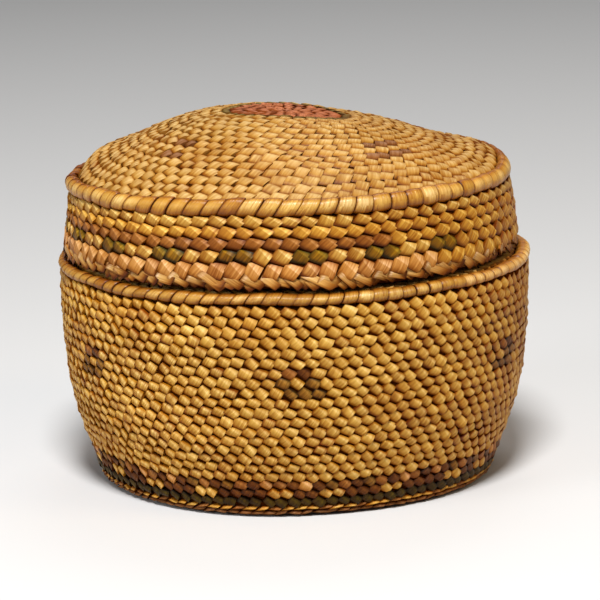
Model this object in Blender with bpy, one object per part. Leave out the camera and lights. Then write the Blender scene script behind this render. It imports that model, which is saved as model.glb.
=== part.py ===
# Round lidded basket in wrapped twining, at its real size in metres, with +Z up.
# The origin is the middle of the base, on the table. The lid lifts off along +Z.

import collections
import math

import bmesh
import bpy

# Body
SHOULDER_RADIUS = 0.0450  # outermost edge of the shoulder coil
SHOULDER_HEIGHT = 0.0416  # middle of the shoulder coil above the table
FOOT_RADIUS = 0.0362  # where the wall leaves the table
WALL_BULGE = 2.6  # power of the wall's curve: a higher one stays upright for longer
SHOULDER_COIL_WIDTH = 0.0028
SHOULDER_COIL_HEIGHT = 0.0022
COIL_PROUD = 0.0003  # how far a coil stands out past the courses next to it

# Weave
COURSE_THICKNESS = 0.0012
COLLAR_COURSE_THICKNESS = 0.0009
STAKE_THICKNESS = 0.0008
WRAP_THICKNESS = 0.00035
CLEARANCE = 0.0003  # between neighbouring pieces
WALL_THICKNESS = COURSE_THICKNESS + CLEARANCE + STAKE_THICKNESS
COURSE_PITCH = 0.00189  # wall and lid top, one course to the next
COURSE_SWELL = 0.0002  # how far a single course bulges at its middle
MOTIF_START = 0.0246  # along the wall from the foot to the first motif course
MOTIF_COURSES = 3

# Base
PLAIT_STRIPS = 6  # strips each way in the plaited start
STRIP_WIDTH = 0.0036
STRIP_SPACE = 0.0009
STRIP_THICKNESS = 0.0005
BASE_THICKNESS = 0.0014

# Ledge and collar
LEDGE_THICKNESS = 0.0010
COLLAR_HEIGHT = 0.0100  # above the ledge
COLLAR_PLAY = 0.0004  # between the collar's rim and the lid where they are closest
RIM_HEIGHT = 0.0018

# Lid
LEDGE_SHOWN = 0.0014  # the shoulder coil's edge past the lid's hem, with the lid centred
LID_SHIFT = 0.0010  # the lid sits off centre, towards -X
LID_SIDE_HEIGHT = 0.0132  # from the hem's lower edge to the underside of the edge coil
LID_FLARE = 0.0016  # the hem stands out past the top of the lid's side by this much
SIDE_COURSE_PITCH = 0.00212
EDGE_COIL_WIDTH = 0.0026
EDGE_COIL_HEIGHT = 0.0030
LID_RISE = 0.0105  # from the outer edge of the top up to the crown
CROWN_RADIUS = 0.0118  # the level middle of the top
TOP_BULGE = 1.75  # power of the top's curve
CROWN_BORDER = 0.0016  # width of the course round the crown patch
INNER_TOP_COURSES = 6
MOTIF_TOP_COURSES = 4

# Fineness: round pieces are turned from this many flat sides, a whole number of eighths
SIDES = 40
CURVE_SAMPLES = 240
WALL_STEPS = 8
TOP_STEPS = 7
COIL_STEPS = 6  # even, so that a coil's outermost edge is a corner of its section
COIL_SLOT = math.radians(50)  # the wrapping's section is open towards the axis by this much

# Finishes of the strands
Finish = collections.namedtuple("Finish", "colour roughness")
NATURAL = Finish((0.62, 0.38, 0.13), 0.5)
PALE = Finish((0.70, 0.50, 0.22), 0.5)
GOLD = Finish((0.66, 0.36, 0.08), 0.4)
ROSE = Finish((0.46, 0.18, 0.09), 0.55)
RED = Finish((0.50, 0.12, 0.06), 0.6)
GREEN = Finish((0.10, 0.09, 0.02), 0.55)
BROWN = Finish((0.12, 0.05, 0.02), 0.55)
BARK = Finish((0.34, 0.17, 0.07), 0.75)


def clear_scene():
    for thing in list(bpy.data.objects):
        bpy.data.objects.remove(thing, do_unlink=True)


def material(name, finish):
    made = bpy.data.materials.new(name)
    made.use_nodes = True
    shader = made.node_tree.nodes["Principled BSDF"]
    shader.inputs["Base Color"].default_value = (*finish.colour, 1.0)
    shader.inputs["Roughness"].default_value = finish.roughness
    shader.inputs["Metallic"].default_value = 0.0
    return made


def add_piece(name, shape, finish, parent=None):
    mesh = bpy.data.meshes.new(name)
    bmesh.ops.recalc_face_normals(shape, faces=shape.faces)
    shape.to_mesh(mesh)
    shape.free()
    mesh.materials.append(material(name, finish))
    mesh.shade_smooth()
    mesh.set_sharp_from_angle(angle=math.radians(40))
    piece = bpy.data.objects.new(name, mesh)
    bpy.context.scene.collection.objects.link(piece)
    piece.parent = parent
    return piece


def turned(name, outline, finish, parent=None):
    """A round piece: the closed outline of (radius, height) points, turned about Z."""
    shape = bmesh.new()
    rings = []
    for radius, height in outline:
        if radius <= 0.0:
            rings.append([shape.verts.new((0.0, 0.0, height))] * SIDES)
            continue
        ring = []
        for side in range(SIDES):
            angle = math.tau * side / SIDES
            ring.append(shape.verts.new((radius * math.cos(angle), radius * math.sin(angle), height)))
        rings.append(ring)
    for index, ring in enumerate(rings):
        after = rings[(index + 1) % len(rings)]
        for side in range(SIDES):
            turn = (side + 1) % SIDES
            corners = []
            for vertex in (ring[side], ring[turn], after[turn], after[side]):
                if vertex not in corners:
                    corners.append(vertex)
            if len(corners) > 2:
                shape.faces.new(corners)
    return add_piece(name, shape, finish, parent)


class Profile:
    """A line in the radius and height plane, read by the length along it.

    It runs up the outer side and in over the top, so that depth is measured towards the inside.
    """

    def __init__(self, points):
        self.points = points
        self.lengths = [0.0]
        for start, end in zip(points, points[1:]):
            self.lengths.append(self.lengths[-1] + math.dist(start, end))
        self.length = self.lengths[-1]

    def point(self, along):
        along = min(max(along, 0.0), self.length)
        index = 1
        while self.lengths[index] < along and index < len(self.lengths) - 1:
            index += 1
        share = (along - self.lengths[index - 1]) / (self.lengths[index] - self.lengths[index - 1])
        start, end = self.points[index - 1], self.points[index]
        return tuple(a + (b - a) * share for a, b in zip(start, end))

    def at(self, along, depth=0.0):
        radius, height = self.point(along)
        if radius <= 0.0:
            return 0.0, height - depth
        reach = self.length / CURVE_SAMPLES
        before = self.point(along - reach)
        after = self.point(along + reach)
        run = math.dist(before, after)
        across, up = (after[0] - before[0]) / run, (after[1] - before[1]) / run
        return radius - up * depth, height + across * depth


def layer(profile, start, end, near, far, steps, swell=0.0):
    """Closed outline of a layer that follows a profile, between two depths."""
    outer = []
    inner = []
    for step in range(steps + 1):
        along = start + (end - start) * step / steps
        fall = swell * (1.0 - math.sin(math.pi * step / steps))
        outer.append(profile.at(along, near + fall))
        inner.append(profile.at(along, far))
    return outer + inner[::-1]


def oval(radius, height, half_width, half_height, start, sweep, steps):
    """Points on an oval section, from one angle round by a sweep."""
    points = []
    for step in range(steps + 1):
        angle = start + sweep * step / steps
        points.append((radius + half_width * math.cos(angle), height + half_height * math.sin(angle)))
    return points


def coil(rod_name, wrap_name, radius, height, width, tall, parent=None):
    """A rod of bundled strands and the flat strand wrapped round it, open towards the axis."""
    start, sweep = COIL_SLOT / 2 - math.pi, math.tau - COIL_SLOT
    half_width, half_height = width / 2, tall / 2
    outer = oval(radius, height, half_width, half_height, start, sweep, COIL_STEPS)
    inside_width, inside_height = half_width - WRAP_THICKNESS, half_height - WRAP_THICKNESS
    inner = oval(radius, height, inside_width, inside_height, start, sweep, COIL_STEPS)
    turned(wrap_name, outer + inner[::-1], GOLD, parent)
    rod_width, rod_height = inside_width - CLEARANCE, inside_height - CLEARANCE
    rod = oval(radius, height, rod_width, rod_height, 0.0, math.tau, COIL_STEPS)[:-1]
    turned(rod_name, rod, BARK, parent)


def wall_profile():
    top_radius = SHOULDER_RADIUS - COIL_PROUD
    top = SHOULDER_HEIGHT - SHOULDER_COIL_HEIGHT / 2 - CLEARANCE
    points = []
    for sample in range(CURVE_SAMPLES + 1):
        height = top * sample / CURVE_SAMPLES
        lean = (1.0 - height / SHOULDER_HEIGHT) ** WALL_BULGE
        points.append((top_radius - (top_radius - FOOT_RADIUS) * lean, height))
    return Profile(points)


def build_plaited_start(middle):
    """Flat bark strips over and under each other, six each way."""
    pitch = STRIP_WIDTH + STRIP_SPACE
    lift = (STRIP_THICKNESS + CLEARANCE) / 2
    places = [(index - (PLAIT_STRIPS - 1) / 2) * pitch for index in range(PLAIT_STRIPS)]
    for direction in ("lengthwise", "crosswise"):
        for row, offset in enumerate(places):
            shape = bmesh.new()
            stations = []
            for column, place in enumerate(places):
                over = (row + column + (direction == "crosswise")) % 2
                level = middle + (lift if over else -lift)
                for end in (-1, 1):
                    along = place + end * STRIP_WIDTH / 2
                    corners = []
                    for side, rise in ((-1, -1), (1, -1), (1, 1), (-1, 1)):
                        across = offset + side * STRIP_WIDTH / 2
                        height = level + rise * STRIP_THICKNESS / 2
                        spot = (along, across) if direction == "lengthwise" else (across, along)
                        corners.append(shape.verts.new((*spot, height)))
                    stations.append(corners)
            for first, second in zip(stations, stations[1:]):
                for side in range(4):
                    turn = (side + 1) % 4
                    shape.faces.new((first[side], first[turn], second[turn], second[side]))
            shape.faces.new(stations[0])
            shape.faces.new(stations[-1])
            add_piece(f"base_strip_{direction}_{row + 1}", shape, BARK)


def build_base_disc(radius):
    """The twined disc round the plait: round outside, square inside."""
    hole = (PLAIT_STRIPS * (STRIP_WIDTH + STRIP_SPACE) - STRIP_SPACE) / 2 + CLEARANCE
    shape = bmesh.new()
    rings = []
    for height in (0.0, BASE_THICKNESS):
        round_edge, square_edge = [], []
        for side in range(SIDES):
            angle = math.tau * side / SIDES
            across, away = math.cos(angle), math.sin(angle)
            reach = hole / max(abs(across), abs(away))
            round_edge.append(shape.verts.new((radius * across, radius * away, height)))
            square_edge.append(shape.verts.new((reach * across, reach * away, height)))
        rings += [round_edge, square_edge]
    low_round, low_square, high_round, high_square = rings
    loops = (low_round, high_round, high_square, low_square)
    for index, loop in enumerate(loops):
        after = loops[(index + 1) % len(loops)]
        for side in range(SIDES):
            turn = (side + 1) % SIDES
            shape.faces.new((loop[side], loop[turn], after[turn], after[side]))
    add_piece("base_twining", shape, BARK)


def build_wall(wall):
    """Courses over upright stakes. The dyed foot courses are one strand each."""
    courses = round(wall.length / COURSE_PITCH)
    pitch = wall.length / courses
    half_gap = CLEARANCE / 2
    stake_depth = COURSE_THICKNESS + CLEARANCE

    def span(first, last):
        start = first * pitch + (half_gap if first else 0.0)
        end = last * pitch - (half_gap if last < courses else 0.0)
        return start, end

    foot = layer(wall, *span(0, 1), 0.0, COURSE_THICKNESS, 2, COURSE_SWELL)
    inner_edge = wall.at(0.0, COURSE_THICKNESS)[0]
    foot[0] = (FOOT_RADIUS, 0.0)
    foot.append((inner_edge, 0.0))
    turned("foot_course_natural", foot, NATURAL)
    dyed = (("foot_course_green", GREEN), ("foot_course_pairs", GOLD), ("foot_course_brown", BROWN))
    for index, (name, finish) in enumerate(dyed, start=1):
        outline = layer(wall, *span(index, index + 1), 0.0, COURSE_THICKNESS, 2, COURSE_SWELL)
        turned(name, outline, finish)

    first_field = len(dyed) + 1
    motif_from = max(round(MOTIF_START / pitch), first_field + 1)
    motif_to = min(motif_from + MOTIF_COURSES, courses - 1)
    fields = (
        ("wall_courses_lower", first_field, motif_from, NATURAL),
        ("wall_courses_motif", motif_from, motif_to, ROSE),
        ("wall_courses_upper", motif_to, courses, PALE),
    )
    for name, first, last, finish in fields:
        start, end = span(first, last)
        turned(name, layer(wall, start, end, 0.0, COURSE_THICKNESS, max(2, (last - first) // 2)), finish)
    stakes = layer(wall, 0.0, wall.length, stake_depth, WALL_THICKNESS, WALL_STEPS)
    turned("wall_stakes", stakes, BARK)


def collar_outer_radius(side):
    """The collar's rim fills the lid but for its play, where the shifted lid is closest."""
    rim_top = ledge_top() + COLLAR_HEIGHT
    along = min(rim_top - side.points[0][1], side.length)
    lining = side.at(along, WALL_THICKNESS)[0]
    return lining - LID_SHIFT - COLLAR_PLAY


def ledge_top():
    return SHOULDER_HEIGHT + SHOULDER_COIL_HEIGHT / 2 - COIL_PROUD


def build_ledge_and_collar(wall, side):
    """Stakes turn in under the ledge, then stand up as a collar that the lid goes over."""
    rim_outer = collar_outer_radius(side)
    skin_outer = rim_outer - COIL_PROUD
    stake_outer = skin_outer - COLLAR_COURSE_THICKNESS - CLEARANCE
    stake_inner = stake_outer - STAKE_THICKNESS
    top = ledge_top()
    under = top - LEDGE_THICKNESS
    stake_top = under - CLEARANCE
    stake_low = stake_top - STAKE_THICKNESS
    rim_top = top + COLLAR_HEIGHT
    rim_low = rim_top - RIM_HEIGHT

    turn_in = wall.at(wall.length, WALL_THICKNESS)[0] - CLEARANCE
    stakes_end = rim_top - WRAP_THICKNESS - CLEARANCE
    bend = STAKE_THICKNESS
    collar_stakes = [
        (turn_in, stake_low),
        (turn_in, stake_top),
        (stake_outer + bend, stake_top),
        (stake_outer, stake_top + bend),
        (stake_outer, stakes_end),
        (stake_inner, stakes_end),
        (stake_inner, stake_top),
        (stake_inner + bend, stake_low),
    ]
    turned("collar_stakes", collar_stakes, BARK)

    coil_inside = SHOULDER_RADIUS - SHOULDER_COIL_WIDTH
    ledge = [
        (coil_inside - CLEARANCE, under),
        (coil_inside - CLEARANCE, top),
        (stake_outer + bend + CLEARANCE, top),
        (stake_outer + bend + CLEARANCE, under),
    ]
    turned("ledge_courses", ledge, PALE)

    low = top + CLEARANCE
    high = rim_low - CLEARANCE
    skin_inner = stake_outer + CLEARANCE
    courses = [(skin_outer, low), (skin_outer, high), (skin_inner, high), (skin_inner, low)]
    turned("collar_courses", courses, NATURAL)

    rim_inner = stake_inner - CLEARANCE - WRAP_THICKNESS
    rim = [
        (rim_outer - WRAP_THICKNESS, rim_low),
        (rim_outer, rim_low + WRAP_THICKNESS),
        (rim_outer, rim_top - WRAP_THICKNESS),
        (rim_outer - WRAP_THICKNESS, rim_top),
        (rim_inner + WRAP_THICKNESS, rim_top),
        (rim_inner, rim_top - WRAP_THICKNESS),
        (rim_inner, rim_low),
        (stake_inner - CLEARANCE, rim_low),
        (stake_inner - CLEARANCE, stakes_end + CLEARANCE),
        (skin_inner, stakes_end + CLEARANCE),
        (skin_inner, rim_low),
    ]
    turned("collar_rim_binding", rim, GOLD)


def lid_side_profile():
    bottom = SHOULDER_HEIGHT + SHOULDER_COIL_HEIGHT / 2 + CLEARANCE
    hem_radius = SHOULDER_RADIUS - LEDGE_SHOWN
    top = bottom + LID_SIDE_HEIGHT - CLEARANCE
    return Profile([(hem_radius, bottom), (hem_radius - LID_FLARE, top)])


def build_lid_side(side, lid):
    """The hem of folded stake ends, five courses above it, and the stakes inside."""
    half_gap = CLEARANCE / 2
    stake_depth = COURSE_THICKNESS + CLEARANCE
    courses = (
        ("lid_side_course_rose", ROSE),
        ("lid_side_course_green_pairs", GREEN),
        ("lid_side_course_brown", BROWN),
        ("lid_side_course_gold", GOLD),
        ("lid_side_course_natural", NATURAL),
    )
    hem_top = side.length - len(courses) * SIDE_COURSE_PITCH
    turned("lid_hem", layer(side, 0.0, hem_top - half_gap, COURSE_SWELL, WALL_THICKNESS, 2), BARK, lid)
    for index, (name, finish) in enumerate(courses):
        start = hem_top + index * SIDE_COURSE_PITCH + half_gap
        end = start + SIDE_COURSE_PITCH - CLEARANCE
        turned(name, layer(side, start, end, 0.0, COURSE_THICKNESS, 2, COURSE_SWELL), finish, lid)
    stakes = layer(side, hem_top + half_gap, side.length, stake_depth, WALL_THICKNESS, 2)
    turned("lid_side_stakes", stakes, BARK, lid)


def build_lid_top(side, lid):
    """The edge coil and the dome inside it, with its red patch in the middle."""
    coil_outer = side.points[-1][0] + COIL_PROUD
    coil_radius = coil_outer - EDGE_COIL_WIDTH / 2
    coil_height = side.points[-1][1] + CLEARANCE + EDGE_COIL_HEIGHT / 2
    size = (EDGE_COIL_WIDTH, EDGE_COIL_HEIGHT)
    coil("lid_edge_rod", "lid_edge_wrapping", coil_radius, coil_height, *size, lid)

    edge = coil_radius - EDGE_COIL_WIDTH / 2 - CLEARANCE
    low = coil_height + EDGE_COIL_HEIGHT / 2 - COIL_PROUD
    points = []
    for sample in range(CURVE_SAMPLES + 1):
        radius = edge * (1.0 - sample / CURVE_SAMPLES)
        fall = max(radius - CROWN_RADIUS, 0.0) / (edge - CROWN_RADIUS)
        points.append((radius, low + LID_RISE * (1.0 - fall**TOP_BULGE)))
    top = Profile(points)

    half_gap = CLEARANCE / 2
    patch = top.length - CROWN_RADIUS
    border = patch - CROWN_BORDER
    inner = border - INNER_TOP_COURSES * COURSE_PITCH
    motif = inner - MOTIF_TOP_COURSES * COURSE_PITCH
    turned("crown_patch", layer(top, patch + half_gap, top.length, 0.0, COURSE_THICKNESS, 2), RED, lid)
    course = layer(top, border + half_gap, patch - half_gap, 0.0, COURSE_THICKNESS, 2, COURSE_SWELL)
    turned("crown_border_course", course, GREEN, lid)
    bands = (
        ("lid_top_courses_inner", inner, border, NATURAL, 3),
        ("lid_top_courses_motif", motif, inner, ROSE, 2),
        ("lid_top_courses_outer", 0.0, motif, PALE, 3),
    )
    for name, start, end, finish, steps in bands:
        first = start + (half_gap if start else 0.0)
        turned(name, layer(top, first, end - half_gap, 0.0, COURSE_THICKNESS, steps), finish, lid)
    stake_depth = COURSE_THICKNESS + CLEARANCE
    stakes = layer(top, 0.0, top.length, stake_depth, WALL_THICKNESS, TOP_STEPS)
    turned("lid_top_stakes", stakes, BARK, lid)


def main():
    clear_scene()
    wall = wall_profile()
    side = lid_side_profile()

    build_plaited_start(BASE_THICKNESS / 2)
    build_base_disc(wall.at(0.0, WALL_THICKNESS)[0] - CLEARANCE)
    build_wall(wall)
    middle = SHOULDER_RADIUS - SHOULDER_COIL_WIDTH / 2
    size = (SHOULDER_COIL_WIDTH, SHOULDER_COIL_HEIGHT)
    coil("shoulder_rod", "shoulder_wrapping", middle, SHOULDER_HEIGHT, *size)
    build_ledge_and_collar(wall, side)

    # The lid's pieces hang on an empty on the line that the lid lifts along.
    lid = bpy.data.objects.new("lid_lift", None)
    bpy.context.scene.collection.objects.link(lid)
    lid.location = (-LID_SHIFT, 0.0, 0.0)
    build_lid_side(side, lid)
    build_lid_top(side, lid)


main()
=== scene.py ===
# %% [markdown]
# # A small lidded basket in wrapped twining
#
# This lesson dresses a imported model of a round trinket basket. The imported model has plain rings
# for the bands of weaving. Here each band becomes real stitches, each coil gets its wrapping, and
# each strand gets its fibres and dye. Everything is in metres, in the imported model's own frame.

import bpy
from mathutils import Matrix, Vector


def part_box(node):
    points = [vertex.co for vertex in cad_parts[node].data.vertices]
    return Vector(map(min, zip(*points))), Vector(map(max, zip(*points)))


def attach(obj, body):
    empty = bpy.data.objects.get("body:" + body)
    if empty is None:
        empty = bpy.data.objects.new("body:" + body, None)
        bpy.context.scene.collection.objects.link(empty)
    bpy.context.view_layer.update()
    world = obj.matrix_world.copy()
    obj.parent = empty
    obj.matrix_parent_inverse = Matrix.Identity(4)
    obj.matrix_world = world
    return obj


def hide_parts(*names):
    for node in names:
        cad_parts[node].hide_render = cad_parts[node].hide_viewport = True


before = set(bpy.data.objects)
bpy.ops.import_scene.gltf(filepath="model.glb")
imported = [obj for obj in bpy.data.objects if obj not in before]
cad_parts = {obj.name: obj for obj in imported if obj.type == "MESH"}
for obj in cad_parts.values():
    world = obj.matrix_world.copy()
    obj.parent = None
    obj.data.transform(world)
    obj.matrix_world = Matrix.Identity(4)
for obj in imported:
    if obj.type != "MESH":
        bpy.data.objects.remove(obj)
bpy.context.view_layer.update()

import math

import bmesh
import bpy
import numpy as np
from mathutils import Quaternion, Vector

# %% [markdown]
# ## The view
#
# The photograph was taken with a long lens from a little above the basket, and the picture leans
# by about one degree. The camera could be fitted by eye, but here its place, aim and lean come
# from fitting the basket's outline, so that each ring falls where it does in the photograph.

# %% Camera
CAMERA_PLACE = Vector((0.0, -0.6, 0.1589))
CAMERA_AIM = Vector((0.00103, 0.0, 0.03226))
CAMERA_LENS_MM = 192.0
CAMERA_SENSOR_MM = 36.0
CAMERA_LEAN = -0.0225
CAMERA_CLOSEST = 0.01


def scene_object(name, data):
    """Puts some data into the scene, as an object at the origin."""
    made = bpy.data.objects.new(name, data)
    bpy.context.scene.collection.objects.link(made)
    return made


def aimed(place, target):
    """The turn that points a camera or a lamp at a target."""
    return (target - place).to_track_quat("-Z", "Y")


camera = scene_object("camera", bpy.data.cameras.new("camera"))
camera.data.sensor_width = CAMERA_SENSOR_MM
camera.data.lens = CAMERA_LENS_MM
camera.data.clip_start = CAMERA_CLOSEST
camera.location = CAMERA_PLACE
leaned = aimed(CAMERA_PLACE, CAMERA_AIM) @ Quaternion((0.0, 0.0, 1.0), CAMERA_LEAN)
camera.rotation_euler = leaned.to_euler()
bpy.context.scene.camera = camera
down = round(math.degrees(math.pi / 2 - camera.rotation_euler.x), 1)
print("camera looks down by", down, "degrees")

# %% [markdown]
# ## Node helpers
#
# Both Geometry Nodes and shader nodes are built from here. A few short helpers keep the trees
# readable: one makes any node and plugs its inputs, and the others make the kinds that recur.


# %% Node helpers
def node(tree, kind, inputs=(), **settings):
    """Adds a node, applies its settings, then plugs or sets its inputs by index or name."""
    made = tree.nodes.new(kind)
    for key, value in settings.items():
        setattr(made, key, value)
    for slot, value in dict(inputs).items():
        if isinstance(value, bpy.types.NodeSocket):
            tree.links.new(value, made.inputs[slot])
        else:
            made.inputs[slot].default_value = value
    return made


def calc(tree, operation, *values):
    """A Math node. It returns its output socket, as the next three helpers do."""
    return node(tree, "ShaderNodeMath", dict(enumerate(values)), operation=operation).outputs[0]


def vectors(tree, operation, *values):
    return node(tree, "ShaderNodeVectorMath", dict(enumerate(values)),
                operation=operation).outputs[0]


def scaled(tree, vector, amount):
    return node(tree, "ShaderNodeVectorMath", {0: vector, "Scale": amount},
                operation="SCALE").outputs[0]


def joined(tree, x, y, z):
    """Three numbers made into a vector."""
    return node(tree, "ShaderNodeCombineXYZ", {0: x, 1: y, 2: z}).outputs[0]


def parts_of(tree, vector):
    """A vector's three numbers."""
    return node(tree, "ShaderNodeSeparateXYZ", {0: vector}).outputs


def new_tree(name, tree_kind, inputs, outputs):
    """A tree with named sockets. It returns the tree, its inputs and their identifiers."""
    tree = bpy.data.node_groups.new(name, tree_kind)
    identifiers = {}
    for label, kind, default in inputs:
        socket = tree.interface.new_socket(label, in_out="INPUT", socket_type="NodeSocket" + kind)
        if default is not None:
            socket.default_value = default
        identifiers[label] = socket.identifier
    for label, kind in outputs:
        tree.interface.new_socket(label, in_out="OUTPUT", socket_type="NodeSocket" + kind)
    return tree, tree.nodes.new("NodeGroupInput").outputs, identifiers


print("node helpers are ready")

# %% [markdown]
# ## Profiles
#
# The basket is round, so every band of weaving follows a line in the radius and height plane. The
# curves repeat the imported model's own sizes. Going up the wall, or in over the lid's top, a
# stitch's "up" is the direction of travel along its profile.

# %% Profiles
SHOULDER, FOOT = 0.0447, 0.0362
WALL_HEIGHT, WALL_TOP, WALL_CURVE = 0.0416, 0.0402, 2.6
LID_AXIS_X = -0.0010
TOP_EDGE, TOP_LEVEL, TOP_RISE = 0.0398, 0.0589, 0.0105
CROWN_FLAT, DOME_REACH, DOME_CURVE = 0.0118, 0.0276, 1.75
PROFILE_STEPS = 48


def between(low, high, share):
    return low + (high - low) * share


def wall_point(height):
    """The wall's radius and height."""
    return between(SHOULDER, FOOT, (1.0 - height / WALL_HEIGHT) ** WALL_CURVE), height


def top_point(radius):
    """The radius and height of the lid's top, flat at the crown."""
    slope = max(0.0, (radius - CROWN_FLAT) / DOME_REACH) ** DOME_CURVE
    return radius, TOP_LEVEL + TOP_RISE * (1.0 - slope)


def polyline(function, start, end):
    """Points of a profile, with function giving radius and height from one number."""
    shares = (step / PROFILE_STEPS for step in range(PROFILE_STEPS + 1))
    return [function(between(start, end, share)) for share in shares]


def part_of(points, start, end, steps=32):
    """The stretch of a profile between two distances along it."""
    line = np.array(points)
    reach = np.concatenate(([0.0], np.cumsum(np.linalg.norm(np.diff(line, axis=0), axis=1))))
    wanted = np.linspace(start, end, steps + 1)
    return np.column_stack([np.interp(wanted, reach, line[:, axis]) for axis in (0, 1)])


def length_of(points):
    return float(np.linalg.norm(np.diff(np.array(points), axis=0), axis=1).sum())


wall_line = polyline(wall_point, 0.0, WALL_TOP)
top_line = polyline(top_point, TOP_EDGE, 0.0)
print("wall profile", round(length_of(wall_line) * 1000, 1), "mm, top profile",
      round(length_of(top_line) * 1000, 1), "mm")

# %% [markdown]
# ## One stitch
#
# In wrapped twining a strand of grass comes up between two stakes, lies slanting over the
# crossing, and dives back in. What shows is a short piece of ribbon, wider than it is long, with
# its sides leaning one way and its ends the other. It bends over the hidden strand, so a crest
# runs across it. It could be sculpted, but a small grid of points with a height for each keeps it
# to a few dozen faces, which matters because there are thousands of them. Its cell is one unit
# wide and high. The weave isn't the same all over, so the wall, the lid's side, its rose course,
# the edge of the foot and the lid's top each get a stitch with its own slant and crest.

# %% The stitch's mesh
STITCH_COLUMNS = 5
BELOW_CREST = (0.0, 0.12, 0.38, 0.76, 1.0)
ABOVE_CREST = (0.4, 1.0)
# Heights and depths are shares of the height that a course gives its stitches.
RISE, DIVE = 0.26, 0.50
SIDE_TILT, SIDE_ROUND = 0.10, 0.05
CORNER_PULL = 0.02
SKIRT_LEVEL, SKIRT_WIDTH, SKIRT_UV = -1.45, 0.95, 1.22
UV_LOW, UV_CREST, UV_HIGH = 0.1, 0.6, 0.9


def closed_mesh(form, name):
    """Turns a form into a mesh whose faces point outwards."""
    bmesh.ops.recalc_face_normals(form, faces=form.faces)
    mesh = bpy.data.meshes.new(name)
    form.to_mesh(mesh)
    form.free()
    return mesh


def stitch_height(u, share, below, far_side):
    """Height above the weave, from zero at the crest to about minus one where the strand dives."""
    drop_away = RISE * (1.0 - share) + DIVE * (1.0 - share) ** 5 if below else far_side * share
    return -drop_away - SIDE_TILT * (0.5 - u) - SIDE_ROUND * abs(2.0 * u) ** 6


def stitch_mesh(name, down, up, crest_left, crest_right, far_side, creased=False):
    """A closed pillow. down runs along its upper edge and up along its strand.

    The crest's two ends are places up the strand, and far_side is how far it falls beyond it.
    """
    form = bmesh.new()
    layer = form.loops.layers.uv.new("UVMap")
    place = {}
    top = []
    rows = [(share, True) for share in BELOW_CREST] + [(share, False) for share in ABOVE_CREST]
    for share, below in rows:
        for column in range(STITCH_COLUMNS + 1):
            u = column / STITCH_COLUMNS - 0.5
            crest = between(crest_left, crest_right, u + 0.5)
            v = between(-0.5, crest, share) if below else between(crest, 0.5, share)
            pull = 1.0 - CORNER_PULL * abs(4.0 * u * v) ** 3
            x, y = ((down[axis] * u + up[axis] * v) * pull for axis in (0, 1))
            point = form.verts.new((x, y, stitch_height(u, share, below, far_side)))
            ends = (UV_LOW, UV_CREST) if below else (UV_CREST, UV_HIGH)
            place[point] = (between(UV_LOW, UV_HIGH, u + 0.5), between(*ends, share))
            top.append(point)
    wide = STITCH_COLUMNS + 1
    faces = [
        (top[row * wide + column], top[row * wide + column + 1],
         top[(row + 1) * wide + column + 1], top[(row + 1) * wide + column])
        for row in range(len(rows) - 1) for column in range(STITCH_COLUMNS)
    ]
    rim = top[:wide] + top[2 * wide - 1::wide] + top[-2:-wide - 1:-1] + top[-2 * wide:0:-wide]
    skirt = []
    for point in rim:
        low = form.verts.new((point.co.x * SKIRT_WIDTH, point.co.y * SKIRT_WIDTH, SKIRT_LEVEL))
        place[low] = tuple(0.5 + (value - 0.5) * SKIRT_UV for value in place[point])
        skirt.append(low)
    faces += [
        (rim[index - 1], skirt[index - 1], skirt[index], rim[index]) for index in range(len(rim))
    ]
    for corners in faces:
        face = form.faces.new(corners)
        face.smooth = True
        for loop in face.loops:
            loop[layer].uv = place[loop.vert]
    form.faces.new(reversed(skirt))
    crest = top[(len(BELOW_CREST) - 1) * wide:len(BELOW_CREST) * wide]
    sharp = list(zip(rim, rim[1:] + rim[:1])) + (list(zip(crest, crest[1:])) if creased else [])
    for ends in sharp:
        form.edges.get(ends).smooth = False
    return scene_object(name, closed_mesh(form, name))


wall_stitch = stitch_mesh("wall_stitch", (0.80, -0.54), (0.48, 0.86), 0.40, 0.06, 0.34)
side_stitch = stitch_mesh("side_stitch", (0.88, -0.40), (0.50, 0.90), 0.49, 0.08, 0.66, True)
rose_stitch = stitch_mesh("rose_stitch", (0.84, -0.34), (0.50, 0.96), 0.40, 0.0, 0.60, True)
foot_stitch = stitch_mesh("foot_stitch", (0.84, 0.04), (0.62, 0.84), 0.20, 0.15, 0.40)
top_stitch = stitch_mesh("top_stitch", (0.84, -0.42), (0.50, 0.92), 0.30, 0.06, 0.30)
print("one stitch has", len(wall_stitch.data.polygons), "faces")

# %% [markdown]
# ## Courses of stitches
#
# The stitches follow a rule, so Geometry Nodes place them. For each stitch the tree works out
# which course it is in and how far round it sits, reads the profile there, turns that point about
# the axis, and lays the stitch onto the surface. Each course starts half a stitch further on than
# the one below, as the real stitches do. Small random turns and sizes keep it from looking
# machined. On the wall and the lid's side the stitches also turn a little one way at the left and
# the other way at the right, as they do in the photograph, and Lean says how far.

# %% Nodes that both trees use
# The most that a stitch slips along its course, in stitches, and tilts, in radians. Then come the
# smallest and largest size, as shares, and how deep or proud it may lie, in metres.
SLIP = 0.06
TILT = (0.10, 0.12, 0.13)
SMALLEST, LARGEST = (0.92, 0.92, 0.9), (1.10, 1.09, 1.1)
SUNK, RAISED = -0.00007, 0.00009


def chance(tree, seed, offset, low=0.0, high=1.0):
    """A random number for each point, or three where low and high are triples."""
    first = 0 if isinstance(low, tuple) else 2
    made = node(tree, "FunctionNodeRandomValue", {
        first: low, first + 1: high, "Seed": calc(tree, "ADD", seed, float(offset)),
    }, data_type="FLOAT" if first else "FLOAT_VECTOR")
    return made.outputs[first // 2]


def shape_of(tree, source):
    """The geometry of the object that an input names."""
    return node(tree, "GeometryNodeObjectInfo", {0: source}).outputs["Geometry"]


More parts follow.
